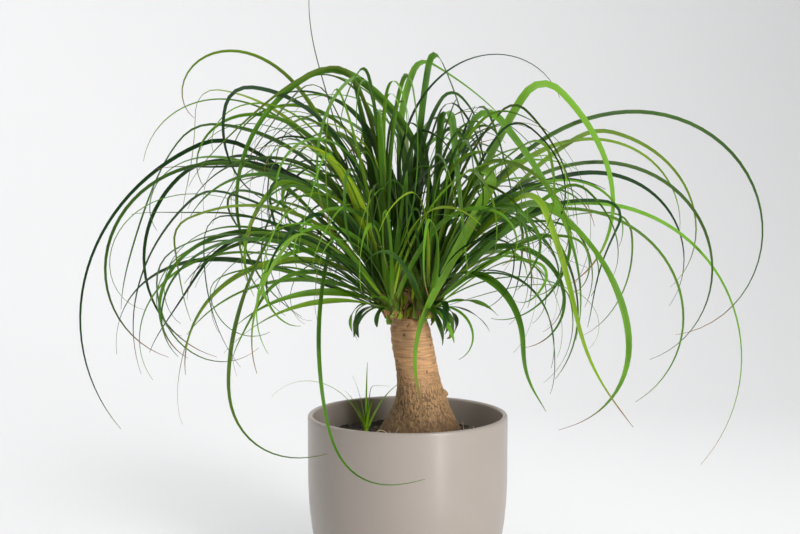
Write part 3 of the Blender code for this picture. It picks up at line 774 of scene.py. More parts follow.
def bark_finish(look):
    """Tan wrinkled bark above and brown plates below, darker towards the foot, with moss at the foot. Cracks,
    creases and hollows are darkened, partly their own colour and partly painted shade, and the left side
    carries painted shade.
    """
    bark = Finish("wrinkled_bark")
    x, _, height = bark.parts(bark.place)
    # cavity: partly the cracks' own darker colour, partly painted shade in creases and hollows
    cavity = bark.attribute("cavity")
    plate = bark.attribute("plate")
    level = bark.noise(1.0, 4, bark.drawn_out(55, 55, 620))
    blotch = bark.noise(75, 4)
    grain = bark.noise(1.0, 4, bark.drawn_out(820, 820, 170))
    upper = bark.blend(tinted(look.tan, 0.72), tinted(look.tan, 1.28), bark.ease(level, 0.30, 0.72))
    upper = bark.blend(upper, BLOTCH, bark.ease(blotch, 0.52, 0.75) * 0.55)
    lower = bark.blend(tinted(look.brown, 0.66), tinted(look.brown, 1.34), plate * 0.45 + grain * 0.55)
    color = bark.blend(lower, upper, bark.ease(height + blotch * 0.04, 0.192, 0.250))
    # painted shade: the bark's left side, away from the window, is darkened
    shade = bark.ease(0.010 - x + blotch * 0.01, 0.004, 0.040)
    color = bark.blend(color, PAINTED_SIDE_SHADE, shade * 0.45)
    # darker towards the foot of the bark
    foot = bark.ease(0.180 - height + (blotch - 0.5) * 0.030, 0.0, 0.026)
    color = bark.blend(color, FOOT_DARKENING, foot * 0.75)
    # darken the cracks, creases and hollows: their own colour and painted shade
    color = bark.blend(color, look.crack, bark.ease(cavity, 0.15, 0.95) * 0.85)
    damp = bark.ease(0.1545 - height + (blotch - 0.5) * 0.020, 0.0, 0.008)
    color = bark.blend(color, look.moss, damp * 0.75)
    bark.bumps(level * 0.6 + grain * 0.4, 0.0007, 0.65)
    return bark.paint(color, 0.66 + 0.22 * grain)


def leaf_finish(look):
    """Strap leaves: fine lengthwise veins, a raised rib, a paler root, brown tips, light passing through."""
    leaf = Finish("strap_leaf", IOR=1.38)
    across, along, _ = leaf.parts(leaf.node("ShaderNodeUVMap", {"uv_map": "UVMap"}))
    tone, fresh, dry = (leaf.attribute(name) for name in ("tone", "fresh", "dry"))
    clouds = leaf.noise(34, 3)
    veins = leaf.math("SINE", across * (2 * math.pi * 8)) * 0.5 + 0.5
    off_rib = abs(across - 0.5) * 2
    depth = tone + (clouds - 0.5) * 0.5 + (veins - 0.5) * 0.16 + 0.10 * off_rib
    color = leaf.blend(look.deep, look.light, leaf.ease(depth, 0.10, 0.95))
    x, y, z = leaf.parts(leaf.place)
    # painted shade: blades darken towards the middle of the crown, fresh ones less
    inside = leaf.math("SQRT", x * x + y * y + (z - 0.37) * (z - 0.37))
    color = leaf.blend(color, tinted(look.deep, 0.5), leaf.ease(inside, 0.15, 0.03) * (0.7 - 0.7 * fresh))
    color = leaf.blend(color, look.fresh, leaf.ease(fresh + (veins - 0.5) * 0.10, 0.0, 1.0))
    pale = leaf.ease(along, 0.16, 0.0) * (0.25 + 0.5 * fresh)
    color = leaf.blend(color, LEAF_ROOT, pale)
    withered = leaf.ease(along + dry * 1.15 + (clouds - 0.5) * 0.08, 1.0, 1.10)
    color = leaf.blend(color, look.dry, withered)
    leaf.bumps(veins * 0.6 + leaf.ease(off_rib, 0.10, 0.0) * 0.8, 0.0003, 0.5)
    leaf.paint(color, 0.33 + 0.14 * clouds + 0.30 * withered)
    glow = leaf.node("ShaderNodeBsdfTranslucent", None, {"Color": LEAF_GLOW})
    share = (0.07 + 0.16 * fresh) * (1 - withered)
    body = Value(leaf, leaf.shader.outputs[0])
    mixed = leaf.node("ShaderNodeMixShader", None, {"Fac": share, "Shader": body, "Shader_001": glow})
    leaf.tree.links.new(mixed.socket, leaf.tree.nodes["Material Output"].inputs["Surface"])
    return leaf.material


def strand_finish(name, dark, light):
    """Fine dry strands or moss, from a dark to a light colour."""
    strand = Finish(name)
    tone = strand.attribute("tone") + (strand.noise(300, 3) - 0.5) * 0.4
    strand.bumps(strand.noise(1500, 2), 0.0002, 0.4)
    return strand.paint(strand.blend(dark, light, strand.ease(tone, 0.0, 1.0)), 0.72 + 0.1 * tone)


# ---------------------------------------------------------------- pot and soil

def pot_outer(height):
    """Outer radius of the pot: straight below the rim, then drawn in towards the base."""
    fall = POT_HEIGHT - POT_STRAIGHT
    return POT_RADIUS - POT_DRAW_IN * max(0.0, (fall - height) / fall) ** POT_DRAW_POWER


class PALM_OT_pot(bpy.types.Operator):
    """Turn, hollow and glaze the pot"""

    bl_idname = "palm.pot"
    bl_label = "Glazed Pot"
    bl_options = {"REGISTER", "UNDO"}

    def execute(self, context):
        look = context.scene.palm_pot
        pot = self.throw(look.sides)
        self.hollow(pot)
        self.aroundedges(pot)
        dress(pot, glaze_finish(look), ["pot"], angle=60)
        return {"FINISHED"}

    def throw(self, sides):
        """The outside: a cylinder with a rounded base, drawn in towards the foot."""
        pot = add_cylinder("glazed_pot", sides, POT_RADIUS, 0.0, POT_HEIGHT)
        with editing(pot):
            pick("edges", level_at(0.0))
            bpy.ops.mesh.bevel(offset=POT_BASE_ROUND, segments=7, affect="EDGES")
            pick("edges", lambda edge: upright(edge) and edge.calc_length() > POT_HEIGHT / 2)
            bpy.ops.mesh.subdivide(number_cuts=30)
        points = points_of(pot)
        radius = np.hypot(points[:, 0], points[:, 1])
        drawn_in = np.array([POT_RADIUS - pot_outer(max(height, POT_BASE_ROUND)) for height in points[:, 2]])
        points[:, :2] *= ((radius - drawn_in) / radius)[:, None]
        put_points(pot, points)
        return pot

    def hollow(self, pot):
        """The inside: inset the top, sink it level by level to the floor, and recess the underside."""
        with editing(pot):
            pick("faces", lambda face: face.normal.z > 0.9)
            bpy.ops.mesh.inset(thickness=POT_WALL)
            radius, height = POT_RADIUS - POT_WALL, POT_HEIGHT
            for level in INNER_LEVELS:
                narrowed = pot_outer(level) - POT_WALL
                bpy.ops.mesh.extrude_region_move(TRANSFORM_OT_translate={"value": (0, 0, level - height)})
                share = narrowed / radius
                bpy.ops.transform.resize(value=(share, share, 1), center_override=(0, 0, level))
                radius, height = narrowed, level
            pick("faces", lambda face: face.normal.z < -0.9999)
            bpy.ops.mesh.inset(thickness=FOOT_RING)
            bpy.ops.mesh.inset(thickness=RECESS)
            bpy.ops.transform.translate(value=(0, 0, RECESS))

    def aroundedges(self, pot):
        """A soft lip, and a rounded corner round the floor inside."""
        with editing(pot):
            pick("edges", level_at(POT_HEIGHT))
            bpy.ops.mesh.bevel(offset=LIP_ROUND, segments=6, affect="EDGES")
            pick("edges", lambda edge: level_at(POT_FLOOR)(edge) and edge.calc_length() < 0.01)
            bpy.ops.mesh.bevel(offset=FLOOR_ROUND, segments=4, affect="EDGES")


def soil_relief(x, y):
    """Height of the lumpy surface over the soil's level."""
    return SOIL_BUMP * (
        np.sin(95 * x + 0.6) * np.cos(110 * y - 0.4)
        + 0.6 * np.sin(210 * x - 1.3) * np.sin(190 * y + 0.9)
        + 0.4 * np.cos(330 * x + 250 * y)
    )


class PALM_OT_soil(bpy.types.Operator):
    """Fill the pot with potting mix and strew bits of bark and pumice over it"""

    bl_idname = "palm.soil"
    bl_label = "Potting Mix"
    bl_options = {"REGISTER", "UNDO"}

    def execute(self, context):
        look = context.scene.palm_soil
        soil = self.fill()
        chips = self.strew(look.chips, look.chip_size)
        dress(join([soil, *chips], "potting_mix"), soil_finish(look), ["soil"], angle=60)
        return {"FINISHED"}

    def fill(self):
        """A plug that follows the pot's wall, its top in rings and raised into lumps."""
        floor = POT_FLOOR + GAP
        edge = pot_outer(SOIL_TOP) - POT_WALL - GAP
        soil = add_tube("soil_plug", 144, edge, floor, SOIL_TOP, 10)
        with editing(soil):
            pick("faces", lambda face: face.normal.z > 0.9)
            for _ in range(SOIL_RINGS):
                bpy.ops.mesh.inset(thickness=edge / (SOIL_RINGS + 2))
        points = points_of(soil)
        x, y, z = points.T
        wall = np.array([pot_outer(height) - POT_WALL - GAP for height in z])
        points[:, :2] *= (wall / edge)[:, None]
        on_top = (z > SOIL_TOP - GAP) & (np.hypot(x, y) < 0.995 * edge)
        crumbs = 0.0006 * waver(points, 260, 260, 0) + 0.0004 * waver(points, 620, 620, 0)
        points[:, 2] += on_top * (soil_relief(x, y) + crumbs)
        mark(soil, chip=0.0)
        put_points(soil, points)
        return soil

    def strew(self, count, size):
        """Loose bits, each its own size, turn and height above the mix."""
        let_go()
        bpy.ops.mesh.primitive_ico_sphere_add(subdivisions=1, radius=0.5)
        pattern = settle("chip_pattern")
        bit = points_of(pattern)
        rng = random.Random(31)
        chips = []
        while len(chips) < count:
            x, y = rng.uniform(-0.088, 0.088), rng.uniform(-0.088, 0.088)
            if math.hypot(x, y) > LITTER_REACH:
                continue
            chip = copy_of(pattern)
            length = size * rng.uniform(0.35, 1.3)
            shape = bit * (length, length * rng.uniform(0.4, 0.9), length * rng.uniform(0.25, 0.6))
            shape += 0.12 * length * np.array([[rng.uniform(-1, 1) for _ in range(3)] for _ in shape])
            turn, tip = rng.uniform(0, 2 * math.pi), rng.uniform(-0.5, 0.5)
            across, up = shape[:, 0] * math.cos(tip) - shape[:, 2] * math.sin(tip), shape[:, 2]
            up = shape[:, 0] * math.sin(tip) + up * math.cos(tip)
            shape = np.stack([
                x + across * math.cos(turn) - shape[:, 1] * math.sin(turn),
                y + across * math.sin(turn) + shape[:, 1] * math.cos(turn),
                SOIL_TOP + soil_relief(x, y) + 0.15 * length + up,
            ], axis=1)
            put_points(chip, shape)
            mark(chip, chip=rng.choice((0.2, 0.3, 0.5, 0.6, 1.0)))
            chips.append(chip)
        discard(pattern)
        return chips


# ---------------------------------------------------------------- trunk

def trunk_at(heights):
    """Centre X and radius of the trunk at each height, on an eased curve through the stations."""
    stations = np.array(TRUNK_STATIONS)
    index = np.clip(np.searchsorted(stations[:, 0], heights) - 1, 0, len(stations) - 2)
    slopes = np.gradient(stations[:, 1:], stations[:, 0], axis=0)
    span = (stations[index + 1, 0] - stations[index, 0])[:, None]
    t = (heights - stations[index, 0])[:, None] / span
    start, end = stations[index, 1:], stations[index + 1, 1:]
    return (
        start * (1 + 2 * t) * (1 - t) ** 2 + end * t * t * (3 - 2 * t)
        + span * (slopes[index] * t * (1 - t) ** 2 - slopes[index + 1] * t * t * (1 - t))
    ).T


class Knot(NamedTuple):
    """A bud or branch scar: its angle round the trunk in degrees, height, size, rise and hollow."""

    angle: float
    height: float
    size: float
    rise: float
    hollow: float


KNOTS = (
    Knot(-8, 0.190, 0.0042, 0.0034, 0.0000),
    Knot(-112, 0.247, 0.0036, 0.0010, 0.0016),
    Knot(-62, 0.212, 0.0028, 0.0012, 0.0020),
    Knot(-148, 0.222, 0.0030, 0.0008, 0.0008),
    Knot(-30, 0.236, 0.0024, 0.0007, 0.0009),
    Knot(-95, 0.168, 0.0034, 0.0010, 0.0010),
    Knot(70, 0.228, 0.0034, 0.0009, 0.0012),
    Knot(130, 0.196, 0.0040, 0.0016, 0.0008),
)


class PALM_OT_trunk(bpy.types.Operator):
    """Raise the swollen trunk with its wrinkled and plated bark"""

    bl_idname = "palm.trunk"
    bl_label = "Trunk"
    bl_options = {"REGISTER", "UNDO"}

    ROWS = 262
    BURIED = (0.08, 0.138)      # share of the rows that are out of sight, and the height they reach

    def execute(self, context):
        look = context.scene.palm_trunk
        trunk = add_tube("trunk_core", 240, 1.0, 0.0, 1.0, self.ROWS)
        x, y, share = points_of(trunk).T
        buried, ground = self.BURIED
        heights = np.where(
            share < buried, TRUNK_FOOT + (ground - TRUNK_FOOT) * share / buried,
            ground + (TRUNK_TOP - ground) * (share - buried) / (1 - buried),
        )
        angles = np.arctan2(y, x)
        middle, radius = trunk_at(heights)
        relief, cavity, plate = self.relief(angles, heights, radius, look)
        reach = radius + relief
        put_points(trunk, np.stack([middle + reach * x, reach * y, heights], axis=1))
        mark(trunk, cavity=cavity, plate=plate)
        dress(join([trunk, self.stub()], "bark_trunk"), bark_finish(look), ["trunk"], angle=80)
        return {"FINISHED"}

    def relief(self, angles, heights, radius, look):
        """Height of the bark over the trunk's plain form, how dark a crack or hollow is painted there (partly
        the bark's own colour, partly painted shade), and its plate's look.
        """
        around = np.stack([0.024 * np.cos(angles), 0.024 * np.sin(angles), heights], axis=1)
        upper = smooth((heights - PLATES_END[0]) / PLATES_END[1])
        shown = smooth((heights - BARK_START[0]) / BARK_START[1])
        top = 1 - smooth((heights - TRUNK_TOP + 0.006) / 0.006)

        sway = 0.8 * np.sin(angles + 40 * heights) + 0.5 * np.sin(3 * angles)
        sway = sway + 2.2 * waver(around, 60, 60, 60)
        rings = np.sin(2 * math.pi * heights / RING_PITCH + sway)
        fine = waver(around, *WRINKLE_PITCH)
        finer = waver(around, 120, 120, 1250)
        creases = np.clip(-fine - 0.12, 0, 1) * 2.2
        wrinkles = RING_RISE * rings + look.wrinkle * (fine + 0.6 * finer) - CREASE_DEPTH * creases

        wander = [waver(around + shift, 240, 240, 150) for shift in (0, 7.3, 3.1)]
        crack, plate = self.plates(around + 0.0016 * np.stack(wander, axis=1))
        fibre = waver(around, 640, 640, 90)
        plated = -look.fissure * crack + PLATE_RISE * (plate - 0.5) + FIBRE_RISE * fibre

        lumps = LUMP_RISE * np.sin(2 * angles + 60 * heights) * smooth((heights - 0.150) / 0.02)
        relief = lumps + upper * wrinkles + (1 - upper) * plated
        # cavity: the plates' cracks (their own darker colour) and painted shade in the creases and the
        # troughs of the rings
        cavity = (1 - upper) * crack + upper * 0.55 * np.clip(creases, 0, 1)
        cavity = cavity + upper * 0.14 * np.clip(-rings, 0, 1)
        for knot in KNOTS:
            aside = (angles - math.radians(knot.angle) + math.pi) % (2 * math.pi) - math.pi
            far = np.hypot(aside * radius, (heights - knot.height) * 1.25) / knot.size
            relief = relief + knot.rise * np.exp(-far ** 4) - knot.hollow * np.exp(-(far / 0.5) ** 2)
            # painted shade in a hollow knot's eye and round each knot's brim
            eye = 0.9 * np.exp(-(far / 0.55) ** 4) * (knot.hollow > 0)
            brim = 0.4 * np.exp(-((far - 1.0) / 0.18) ** 2)
            cavity = np.maximum(cavity * (1 - np.exp(-far ** 4)), eye + brim)
        return top * shown * relief, top * np.clip(cavity, 0, 1), plate

    def plates(self, spots):
        """Upright plates: how near each spot is to the crack round its plate, and a number for its plate."""
        crack, plate = [], []
        for spot in spots * PLATE_PITCH:
            distances, places = noise.voronoi(Vector(spot))
            crack.append(math.exp(-((distances[1] - distances[0]) / CRACK_WIDTH) ** 2))
            plate.append(noise.cell(places[0] * 7.0) % 1.0)
        return np.array(crack), np.array(plate)

    def stub(self):
        """The dried end of the old stem between the heads."""
        (x, y), radius, height = STUB
        sunk = TRUNK_TOP - 0.004
        stub = add_tube("stub", 20, radius, sunk, sunk + height, 24)
        points = points_of(stub)
        rise = (points[:, 2] - sunk) / height
        points[:, :2] *= (1 - 0.25 * rise + 0.08 * waver(points, 300, 300, 160))[:, None]
        points[:, :2] += (x, y)
        put_points(stub, points)
        mark(stub, cavity=0.35, plate=0.3)
        return stub


# ---------------------------------------------------------------- leaves

class Look(NamedTuple):
    """What a blade's finish reads, and how the blade is bowed across and along."""

    tone: float
    fresh: float
    dry: float
    groove: float               # how far its middle sinks below its edges, as a share of its half width
    wave: float                 # how far it rocks from side to side, in degrees
    waves: float                # how often
    start: float                # where the rocking starts


def look_of(leaf, rng):
    """A blade's looks: outer blades are darker and drier, young inner ones fresher."""
    tone = min(1.0, max(0.0, rng.gauss(0.42 - 0.15 * (leaf.head == "back"), 0.24)))
    fresh = max(0.0, rng.gauss(0.16 - 0.2 * leaf.age, 0.16))
    dry = rng.choice((0.0, 0.02, 0.05, 0.12)) if leaf.age > 0.1 else 0.0
    chance = (rng.uniform(0.15, 0.45), rng.uniform(5, 22), rng.uniform(0.6, 2.4), rng.uniform(0, 6.3))
    return Look(
        tone if leaf.tone < 0 else leaf.tone, fresh if leaf.fresh < 0 else leaf.fresh, dry, *chance
    )


class BladePattern:
    """A strap blade modelled once, whose copies are laid along the lines of leaves."""

    def __init__(self, across=4, steps=BLADE_STEPS):
        let_go()
        bpy.ops.mesh.primitive_grid_add(x_subdivisions=across, y_subdivisions=steps, size=1)
        self.piece = settle("blade_pattern")
        modify(self.piece, "SOLIDIFY", thickness=0.1, offset=0)
        x, y, z = points_of(self.piece).T
        self.across, self.along, self.side = 2 * x, y + 0.5, np.sign(z)
        self.row = np.rint(self.along * BLADE_STEPS).astype(int)

    def lay(self, leaf, points, headings, look, thickness, root_share=0.75):
        """A copy of the blade, laid along its leaf's line."""
        u = np.linspace(0, 1, len(points))
        along = np.gradient(points, axis=0)
        along /= np.linalg.norm(along, axis=1)[:, None]
        across = np.stack([-np.sin(headings), np.cos(headings), np.zeros(len(u))], axis=1)
        upward = np.cross(along, across)
        rock = look.wave * np.sin(2 * math.pi * look.waves * u + look.start) * smooth(u / 0.2)
        turn = np.radians(leaf.twist * smooth(u / TWIST_SPAN) + rock)[:, None]
        across, upward = (
            across * np.cos(turn) + upward * np.sin(turn),
            upward * np.cos(turn) - across * np.sin(turn),
        )
        opening = root_share + (1 - root_share) * np.minimum(1.0, u / OPENING_SPAN)
        half = 0.5 * (leaf.width * opening * (1 - u ** leaf.taper) + BLADE_TIP)
        thick = np.maximum(thickness * (1 - 0.6 * u) * np.minimum(1.0, leaf.width / 0.006), BLADE_THIN)

        row, share = self.row, self.across
        sink = look.groove * (1 - 0.5 * u[row]) * (share ** 2 - 0.4)
        edge = 1 - 0.7 * np.abs(share) ** 3
        rise = half[row] * sink + 0.5 * self.side * thick[row] * edge
        made = copy_of(self.piece)
        spread = across[row] * (half[row] * share)[:, None]
        put_points(made, points[row] + spread + upward[row] * rise[:, None])
        mark(made, tone=look.tone, fresh=look.fresh, dry=look.dry)
        return made


def head_core(name, head):
    """The short stem of a leaf head, ribbed by the feet of its leaves."""
    foot, crown, broad = np.array(head.foot), np.array(head.crown), head.crown_radius
    core = add_tube(name, 48, 1.0, 0.0, 1.15, 22)
    x, y, share = points_of(core).T
    girths = (head.foot_radius, 0.95 * broad, broad, 0.8 * broad, 0.35 * broad)
    girth = np.interp(share, (0.0, 0.35, 0.7, 0.95, 1.15), girths)
    ribs = 1 + 0.06 * np.sin(9 * np.arctan2(y, x) + 14 * share)
    middle = foot + (crown - foot) * share[:, None]
    put_points(core, middle + np.stack([x, y, 0 * x], axis=1) * (girth * ribs)[:, None])
    mark(core, tone=0.15, fresh=0.25, dry=0.6 * (1 - smooth(share / 0.5)))
    return core


class PALM_OT_sprays(bpy.types.Operator):
    """Grow the blades of the front and rear heads"""

    bl_idname = "palm.sprays"
    bl_label = "Leaf Sprays"
    bl_options = {"REGISTER", "UNDO"}

    NARROW = 0.0048             # width up to which a blade needs only two faces across

    def execute(self, context):
        sizes = context.scene.palm_leaf
        wide, narrow = BladePattern(), BladePattern(across=2)
        finish = leaf_finish(sizes)
        rng = random.Random(sizes.front_seed + 1)
        lines = [(leaf, blade_line(leaf)) for leaf in grow_leaves(sizes)]
        lines += [(leaf, leaf_line(leaf, root_of(leaf))) for leaf in grow_more(sizes)]
        for spray in ("front", "back"):
            parts = [head_core(f"{name}_core", head) for name, head in HEADS.items() if head.spray == spray]
            for leaf, line in lines:
                if HEADS[leaf.head].spray == spray:
                    pattern = wide if leaf.width > self.NARROW else narrow
                    parts.append(pattern.lay(leaf, *line, look_of(leaf, rng), sizes.thickness))
            piece = join(parts, f"{spray}_spray")
            dress(piece, finish, [f"leaves_{spray}"], angle=50)
        discard(wide.piece, narrow.piece)
        return {"FINISHED"}


class PALM_OT_scales(bpy.types.Operator):
    """Wrap the heads' feet in the dry scales of old leaves"""

    bl_idname = "palm.scales"
    bl_label = "Dry Scales"
    bl_options = {"REGISTER", "UNDO"}

    def execute(self, context):
        sizes = context.scene.palm_leaf
        pattern = BladePattern(steps=12)
        rng = random.Random(sizes.front_seed + 2)
        scales = [self.scale(pattern, name, index, rng) for name in HEADS for index in range(SCALE_COUNT)]
        discard(pattern.piece)
        dress(join(scales, "dry_scales"), leaf_finish(sizes), angle=50)
        return {"FINISHED"}

    def scale(self, pattern, name, index, rng):
        """One scale, hugging its head and opening at its tip."""
        head = HEADS[name]
        azimuth, climb = index * 137.5, rng.uniform(-0.22, 0.42)
        foot, crown = np.array(head.foot), np.array(head.crown)
        root = beside(foot + (crown - foot) * climb, azimuth, head.foot_radius + GAP + 0.003 * climb)
        leaf = Leaf(
            name, azimuth, lift=rng.uniform(62, 88), length=rng.uniform(0.012, 0.026),
            bend=rng.uniform(-10, 90), ease=2.0, sway=rng.uniform(-20, 20),
            width=rng.uniform(0.003, 0.008), taper=2.0,
        )
        tone, fresh, dry = rng.uniform(0.1, 0.6), rng.uniform(0.2, 0.9), rng.choice((0.2, 0.5, 1.0))
        look = Look(tone, fresh, dry, groove=-0.5, wave=5.0, waves=1.0, start=0.0)
        return pattern.lay(leaf, *leaf_line(leaf, root), look, 0.0006, root_share=1.0)


class PALM_OT_sprout(bpy.types.Operator):
    """Set the young offset in the soil beside the trunk"""

    bl_idname = "palm.sprout"
    bl_label = "Young Offset"
    bl_options = {"REGISTER", "UNDO"}

    def execute(self, context):
        sizes = context.scene.palm_leaf
        pattern = BladePattern()
        rng = random.Random(5)
        root = np.array((*SPROUT_PLACE, SOIL_TOP + 0.002))
        parts = [self.bulb()]
        for leaf in SPROUT_BLADES:
            tone, fresh = rng.uniform(0.6, 0.95), rng.uniform(0.2, 0.5)
            look = Look(tone, fresh, dry=0.03, groove=0.3, wave=6.0, waves=1.0, start=0.0)
            parts.append(pattern.lay(leaf, *leaf_line(leaf, root), look, 0.0007))
        discard(pattern.piece)
        dress(join(parts, "young_offset"), leaf_finish(sizes), ["sprout"], angle=50)
        return {"FINISHED"}

    def bulb(self):
        """The small bulb, mostly buried."""
        low, high = SOIL_TOP - 0.0136, SOIL_TOP + 0.0104
        bulb = add_tube("bulb", 20, 1.0, low, high, 14)
        points = points_of(bulb)
        share = (points[:, 2] - low) / (high - low)
        points[:, :2] *= np.interp(share, (0, 0.5, 0.8, 1.0), (0.0028, 0.0028, 0.0024, 0.0012))[:, None]
        points[:, :2] += SPROUT_PLACE
        put_points(bulb, points)
        mark(bulb, tone=0.5, fresh=0.6, dry=0.0)
        return bulb


# ---------------------------------------------------------------- moss and rootlets

class StrandPattern:
    """A round strand modelled once, whose copies are laid along lines."""

    def __init__(self, sides, cuts):
        self.piece = add_tube("strand_pattern", sides, 1.0, 0.0, 1.0, cuts)
        x, y, self.share = points_of(self.piece).T
        self.ring = np.stack([x, y], axis=1)

    def lay(self, corners, radius, tone):
        """A copy along an eased curve past a few corners, thinning towards its end."""
        corners = np.array(corners, dtype=float)
        stops = np.linspace(0, 1, len(corners))
        fine = np.linspace(0, 1, STRAND_STEPS + 1)
        line = np.stack([np.interp(fine, stops, axis) for axis in corners.T], axis=1)
        for _ in range(STRAND_EASING):
            line[1:-1] = 0.25 * line[:-2] + 0.5 * line[1:-1] + 0.25 * line[2:]
        along = np.gradient(line, axis=0)
        along /= np.linalg.norm(along, axis=1)[:, None]
        aside = np.cross(along, (0.31, 0.17, 0.93))
        aside /= np.linalg.norm(aside, axis=1)[:, None]
        over = np.cross(along, aside)
        row = np.rint(self.share * STRAND_STEPS).astype(int)
        girth = (radius * (1 - (1 - STRAND_TIP) * self.share ** 2))[:, None]
        made = copy_of(self.piece)
        put_points(made, line[row] + girth * (aside[row] * self.ring[:, :1] + over[row] * self.ring[:, 1:]))
        mark(made, tone=tone)
        return made


class Strand(NamedTuple):
    """A rootlet or straw: how pale it is, and the corners of its line."""

    tone: float
    corners: tuple


# A looped rootlet at the left of the trunk, a crossed pair, two straws at the right, and three that lie flat
STRANDS = (
    Strand(0.90, (
        (-0.030, 0, 0), (-0.033, -0.003, 0.012), (-0.026, -0.004, 0.021), (-0.017, -0.003, 0.016),
        (-0.010, 0, 0.002),
    )),
    Strand(0.75, ((-0.018, 0.004, 0), (-0.014, 0.002, 0.010), (-0.008, 0, 0.022))),
    Strand(0.80, ((-0.006, 0.004, 0), (-0.012, 0.002, 0.010), (-0.018, 0, 0.019))),
    Strand(1.00, ((0.048, 0.012, 0), (0.052, 0.010, 0.012), (0.050, 0.008, 0.026))),
    Strand(0.70, ((0.054, 0.016, 0), (0.050, 0.014, 0.010), (0.058, 0.012, 0.019))),
    Strand(0.50, ((-0.060, 0.032, 0), (-0.052, 0.024, 0.004), (-0.040, 0.012, 0.001))),
    Strand(0.60, ((0.020, 0.112, 0), (0.004, 0.118, 0.006), (-0.020, 0.114, 0))),
    Strand(0.70, ((0.066, 0.062, 0), (0.064, 0.078, 0.007), (0.056, 0.092, 0))),
)


class PALM_OT_ground(bpy.types.Operator):
    """Lay moss round the trunk's foot, and pale rootlets and straws on the mix"""

    bl_idname = "palm.ground"
    bl_label = "Moss and Rootlets"
    bl_options = {"REGISTER", "UNDO"}

    def execute(self, context):
        look = context.scene.palm_trunk
        self.moss(look)
        self.rootlets()
        return {"FINISHED"}

    def moss(self, look):
        """Short tufts where the bark meets the mix."""
        pattern = StrandPattern(3, 2)
        rng = random.Random(71)
        middle, radius = trunk_at(np.array([SOIL_TOP]))
        tufts = []
        for _ in range(TUFTS):
            angle = rng.uniform(0, 2 * math.pi)
            reach = radius[0] + abs(rng.gauss(0.0, 0.0042)) - 0.0006
            x, y = middle[0] + reach * math.cos(angle), reach * math.sin(angle)
            if noise.noise(Vector((x, y, 0)) * 90) < -0.05 or math.hypot(x, y) > LITTER_REACH:
                continue
            foot = np.array((x, y, SOIL_TOP + soil_relief(x, y) - 0.0004))
            lean = np.array((rng.uniform(-1, 1), rng.uniform(-1, 1), rng.uniform(1.2, 2.6)))
            tip = foot + lean * rng.uniform(0.0006, 0.0014)
            girth, tone = rng.uniform(0.0002, 0.0004), rng.random()
            tufts.append(pattern.lay((foot, (foot + tip) / 2, tip), girth, tone))
        discard(pattern.piece)
        finish = strand_finish("moss", tinted(look.moss, 0.45), tinted(look.moss, 1.9))
        dress(join(tufts, "foot_moss"), finish, angle=80)

    def rootlets(self):
        """Rootlets and straws, standing or lying on the mix."""
        pattern = StrandPattern(6, 32)
        laid = []
        for strand in STRANDS:
            corners = np.add(strand.corners, STRAND_GROUND)
            laid.append(pattern.lay(corners, STRAND_GIRTH, strand.tone))
        discard(pattern.piece)
        finish = strand_finish("dry_rootlet", *ROOTLET)
        dress(join(laid, "rootlets"), finish, angle=80)


# ---------------------------------------------------------------- stage

class Lamp(NamedTuple):
    """An area light: its place, what it faces, its width and height, and its share of the key's power."""

    place: tuple
    goal: tuple
    size: tuple
    share: float


LAMPS = {
    "window": Lamp((1.20, -1.60, 1.15), (0, 0, 0.30), (0.6, 2.1), 1.0),
    "low_strip": Lamp((0.27, -0.42, 0.06), (0, 0, 0.08), (0.03, 0.11), 0.004),
    "overhead": Lamp((-0.2, 0.3, 2.0), (0, 0, 0.25), (1.6, 1.6), 0.5),
    "backdrop": Lamp((-1.9, 0.6, 1.6), (-1.0, 2.1, 0.6), (1.4, 1.4), 0.46),
}


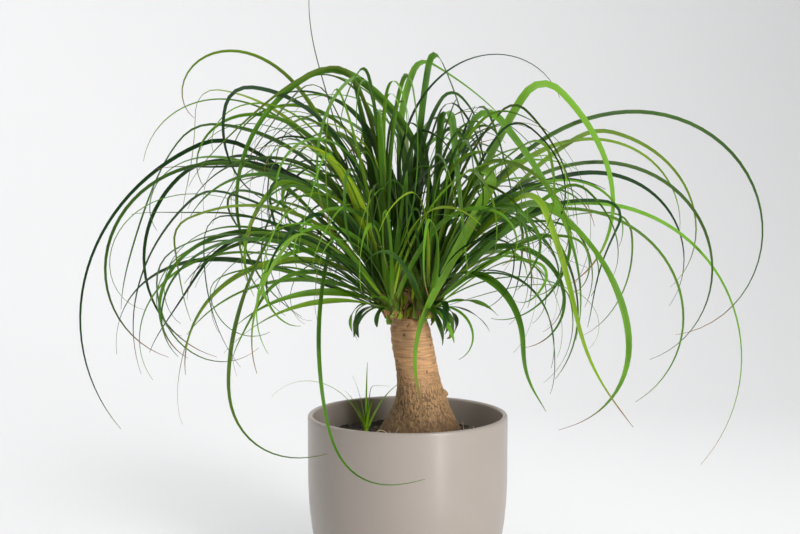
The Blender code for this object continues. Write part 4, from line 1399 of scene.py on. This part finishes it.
class PALM_OT_stage(bpy.types.Operator):
    """Set the pale sweep, the soft light and the camera"""

    bl_idname = "palm.stage"
    bl_label = "Stage"
    bl_options = {"REGISTER", "UNDO"}

    def execute(self, context):
        look = context.scene.palm_stage
        self.sweep()
        self.light(look, context.scene)
        bpy.ops.object.camera_add(location=look.place, rotation=(math.pi / 2 - look.dip, 0, 0))
        camera = bpy.context.object
        camera.name = "camera"
        camera.data.lens = look.lens
        camera.data.sensor_width = 36.0
        context.scene.camera = camera
        return {"FINISHED"}

    def sweep(self):
        """A pale floor that curves up into a backdrop."""
        let_go()
        bpy.ops.mesh.primitive_plane_add(size=9.0, location=(0, -2.4, 0))
        floor = settle("floor")
        with editing(floor):
            pick("edges", lambda edge: all(corner.co.y > 2.0 for corner in edge.verts))
            bpy.ops.mesh.extrude_region_move(TRANSFORM_OT_translate={"value": (0, 0, 5.0)})
            pick("edges", lambda edge: all(corner.co.y > 2.0 and corner.co.z < 0.1 for corner in edge.verts))
            bpy.ops.mesh.bevel(offset=1.2, segments=24, affect="EDGES")
        bpy.ops.object.shade_smooth()
        paper = Finish("pale_sweep")
        floor.data.materials.append(paper.paint(PAPER, 0.9 - 0.05 * paper.noise(3, 2)))

    def light(self, look, scene):
        """A large window to the right and in front, light from above and on the backdrop, and an even sky."""
        for name, lamp in LAMPS.items():
            turn = (Vector(lamp.goal) - Vector(lamp.place)).to_track_quat("-Z", "Y").to_euler()
            bpy.ops.object.light_add(type="AREA", location=lamp.place, rotation=turn)
            made = bpy.context.object
            made.name = name
            made.data.shape = "RECTANGLE"
            made.data.size, made.data.size_y = lamp.size
            made.data.energy = lamp.share * look.key
        world = bpy.data.worlds.new("even_sky")
        world.use_nodes = True
        sky = world.node_tree.nodes["Background"].inputs
        sky["Color"].default_value = (0.97, 0.985, 1.0, 1.0)
        sky["Strength"].default_value = look.sky
        scene.world = world
        scene.view_settings.view_transform = "Standard"


# ---------------------------------------------------------------- add-on

class PALM_PT_panel(bpy.types.Panel):
    """Buttons and settings for the palm"""

    bl_idname = "PALM_PT_panel"
    bl_label = "Potted Ponytail Palm"
    bl_space_type = "VIEW_3D"
    bl_region_type = "UI"
    bl_category = "Palm"

    def draw(self, context):
        """A box of settings and buttons for each group of pieces."""
        for key, group, operators in SECTIONS:
            box = self.layout.box()
            for name in group.__annotations__:
                box.prop(getattr(context.scene, key), name)
            for operator in operators:
                box.operator(operator.bl_idname)


SECTIONS = (
    ("palm_pot", PotSettings, (PALM_OT_pot,)),
    ("palm_soil", SoilSettings, (PALM_OT_soil,)),
    ("palm_trunk", TrunkSettings, (PALM_OT_trunk, PALM_OT_ground)),
    ("palm_leaf", LeafSettings, (PALM_OT_sprays, PALM_OT_scales, PALM_OT_sprout)),
    ("palm_stage", StageSettings, (PALM_OT_stage,)),
)
CLASSES = [made for _, group, operators in SECTIONS for made in (group, *operators)] + [PALM_PT_panel]


def register():
    """Make the settings, the operators and the panel known to Blender."""
    for made in CLASSES:
        bpy.utils.register_class(made)
    for key, group, _ in SECTIONS:
        setattr(bpy.types.Scene, key, PointerProperty(type=group))


def unregister():
    """Take them out again."""
    for key, _, _ in SECTIONS:
        delattr(bpy.types.Scene, key)
    for made in reversed(CLASSES):
        bpy.utils.unregister_class(made)


def main():
    """Build every piece in turn."""
    register()
    bpy.ops.palm.pot()
    bpy.ops.palm.soil()
    bpy.ops.palm.trunk()
    bpy.ops.palm.sprays()
    bpy.ops.palm.scales()
    bpy.ops.palm.sprout()
    bpy.ops.palm.ground()
    bpy.ops.palm.stage()


if __name__ == "__main__":
    main()
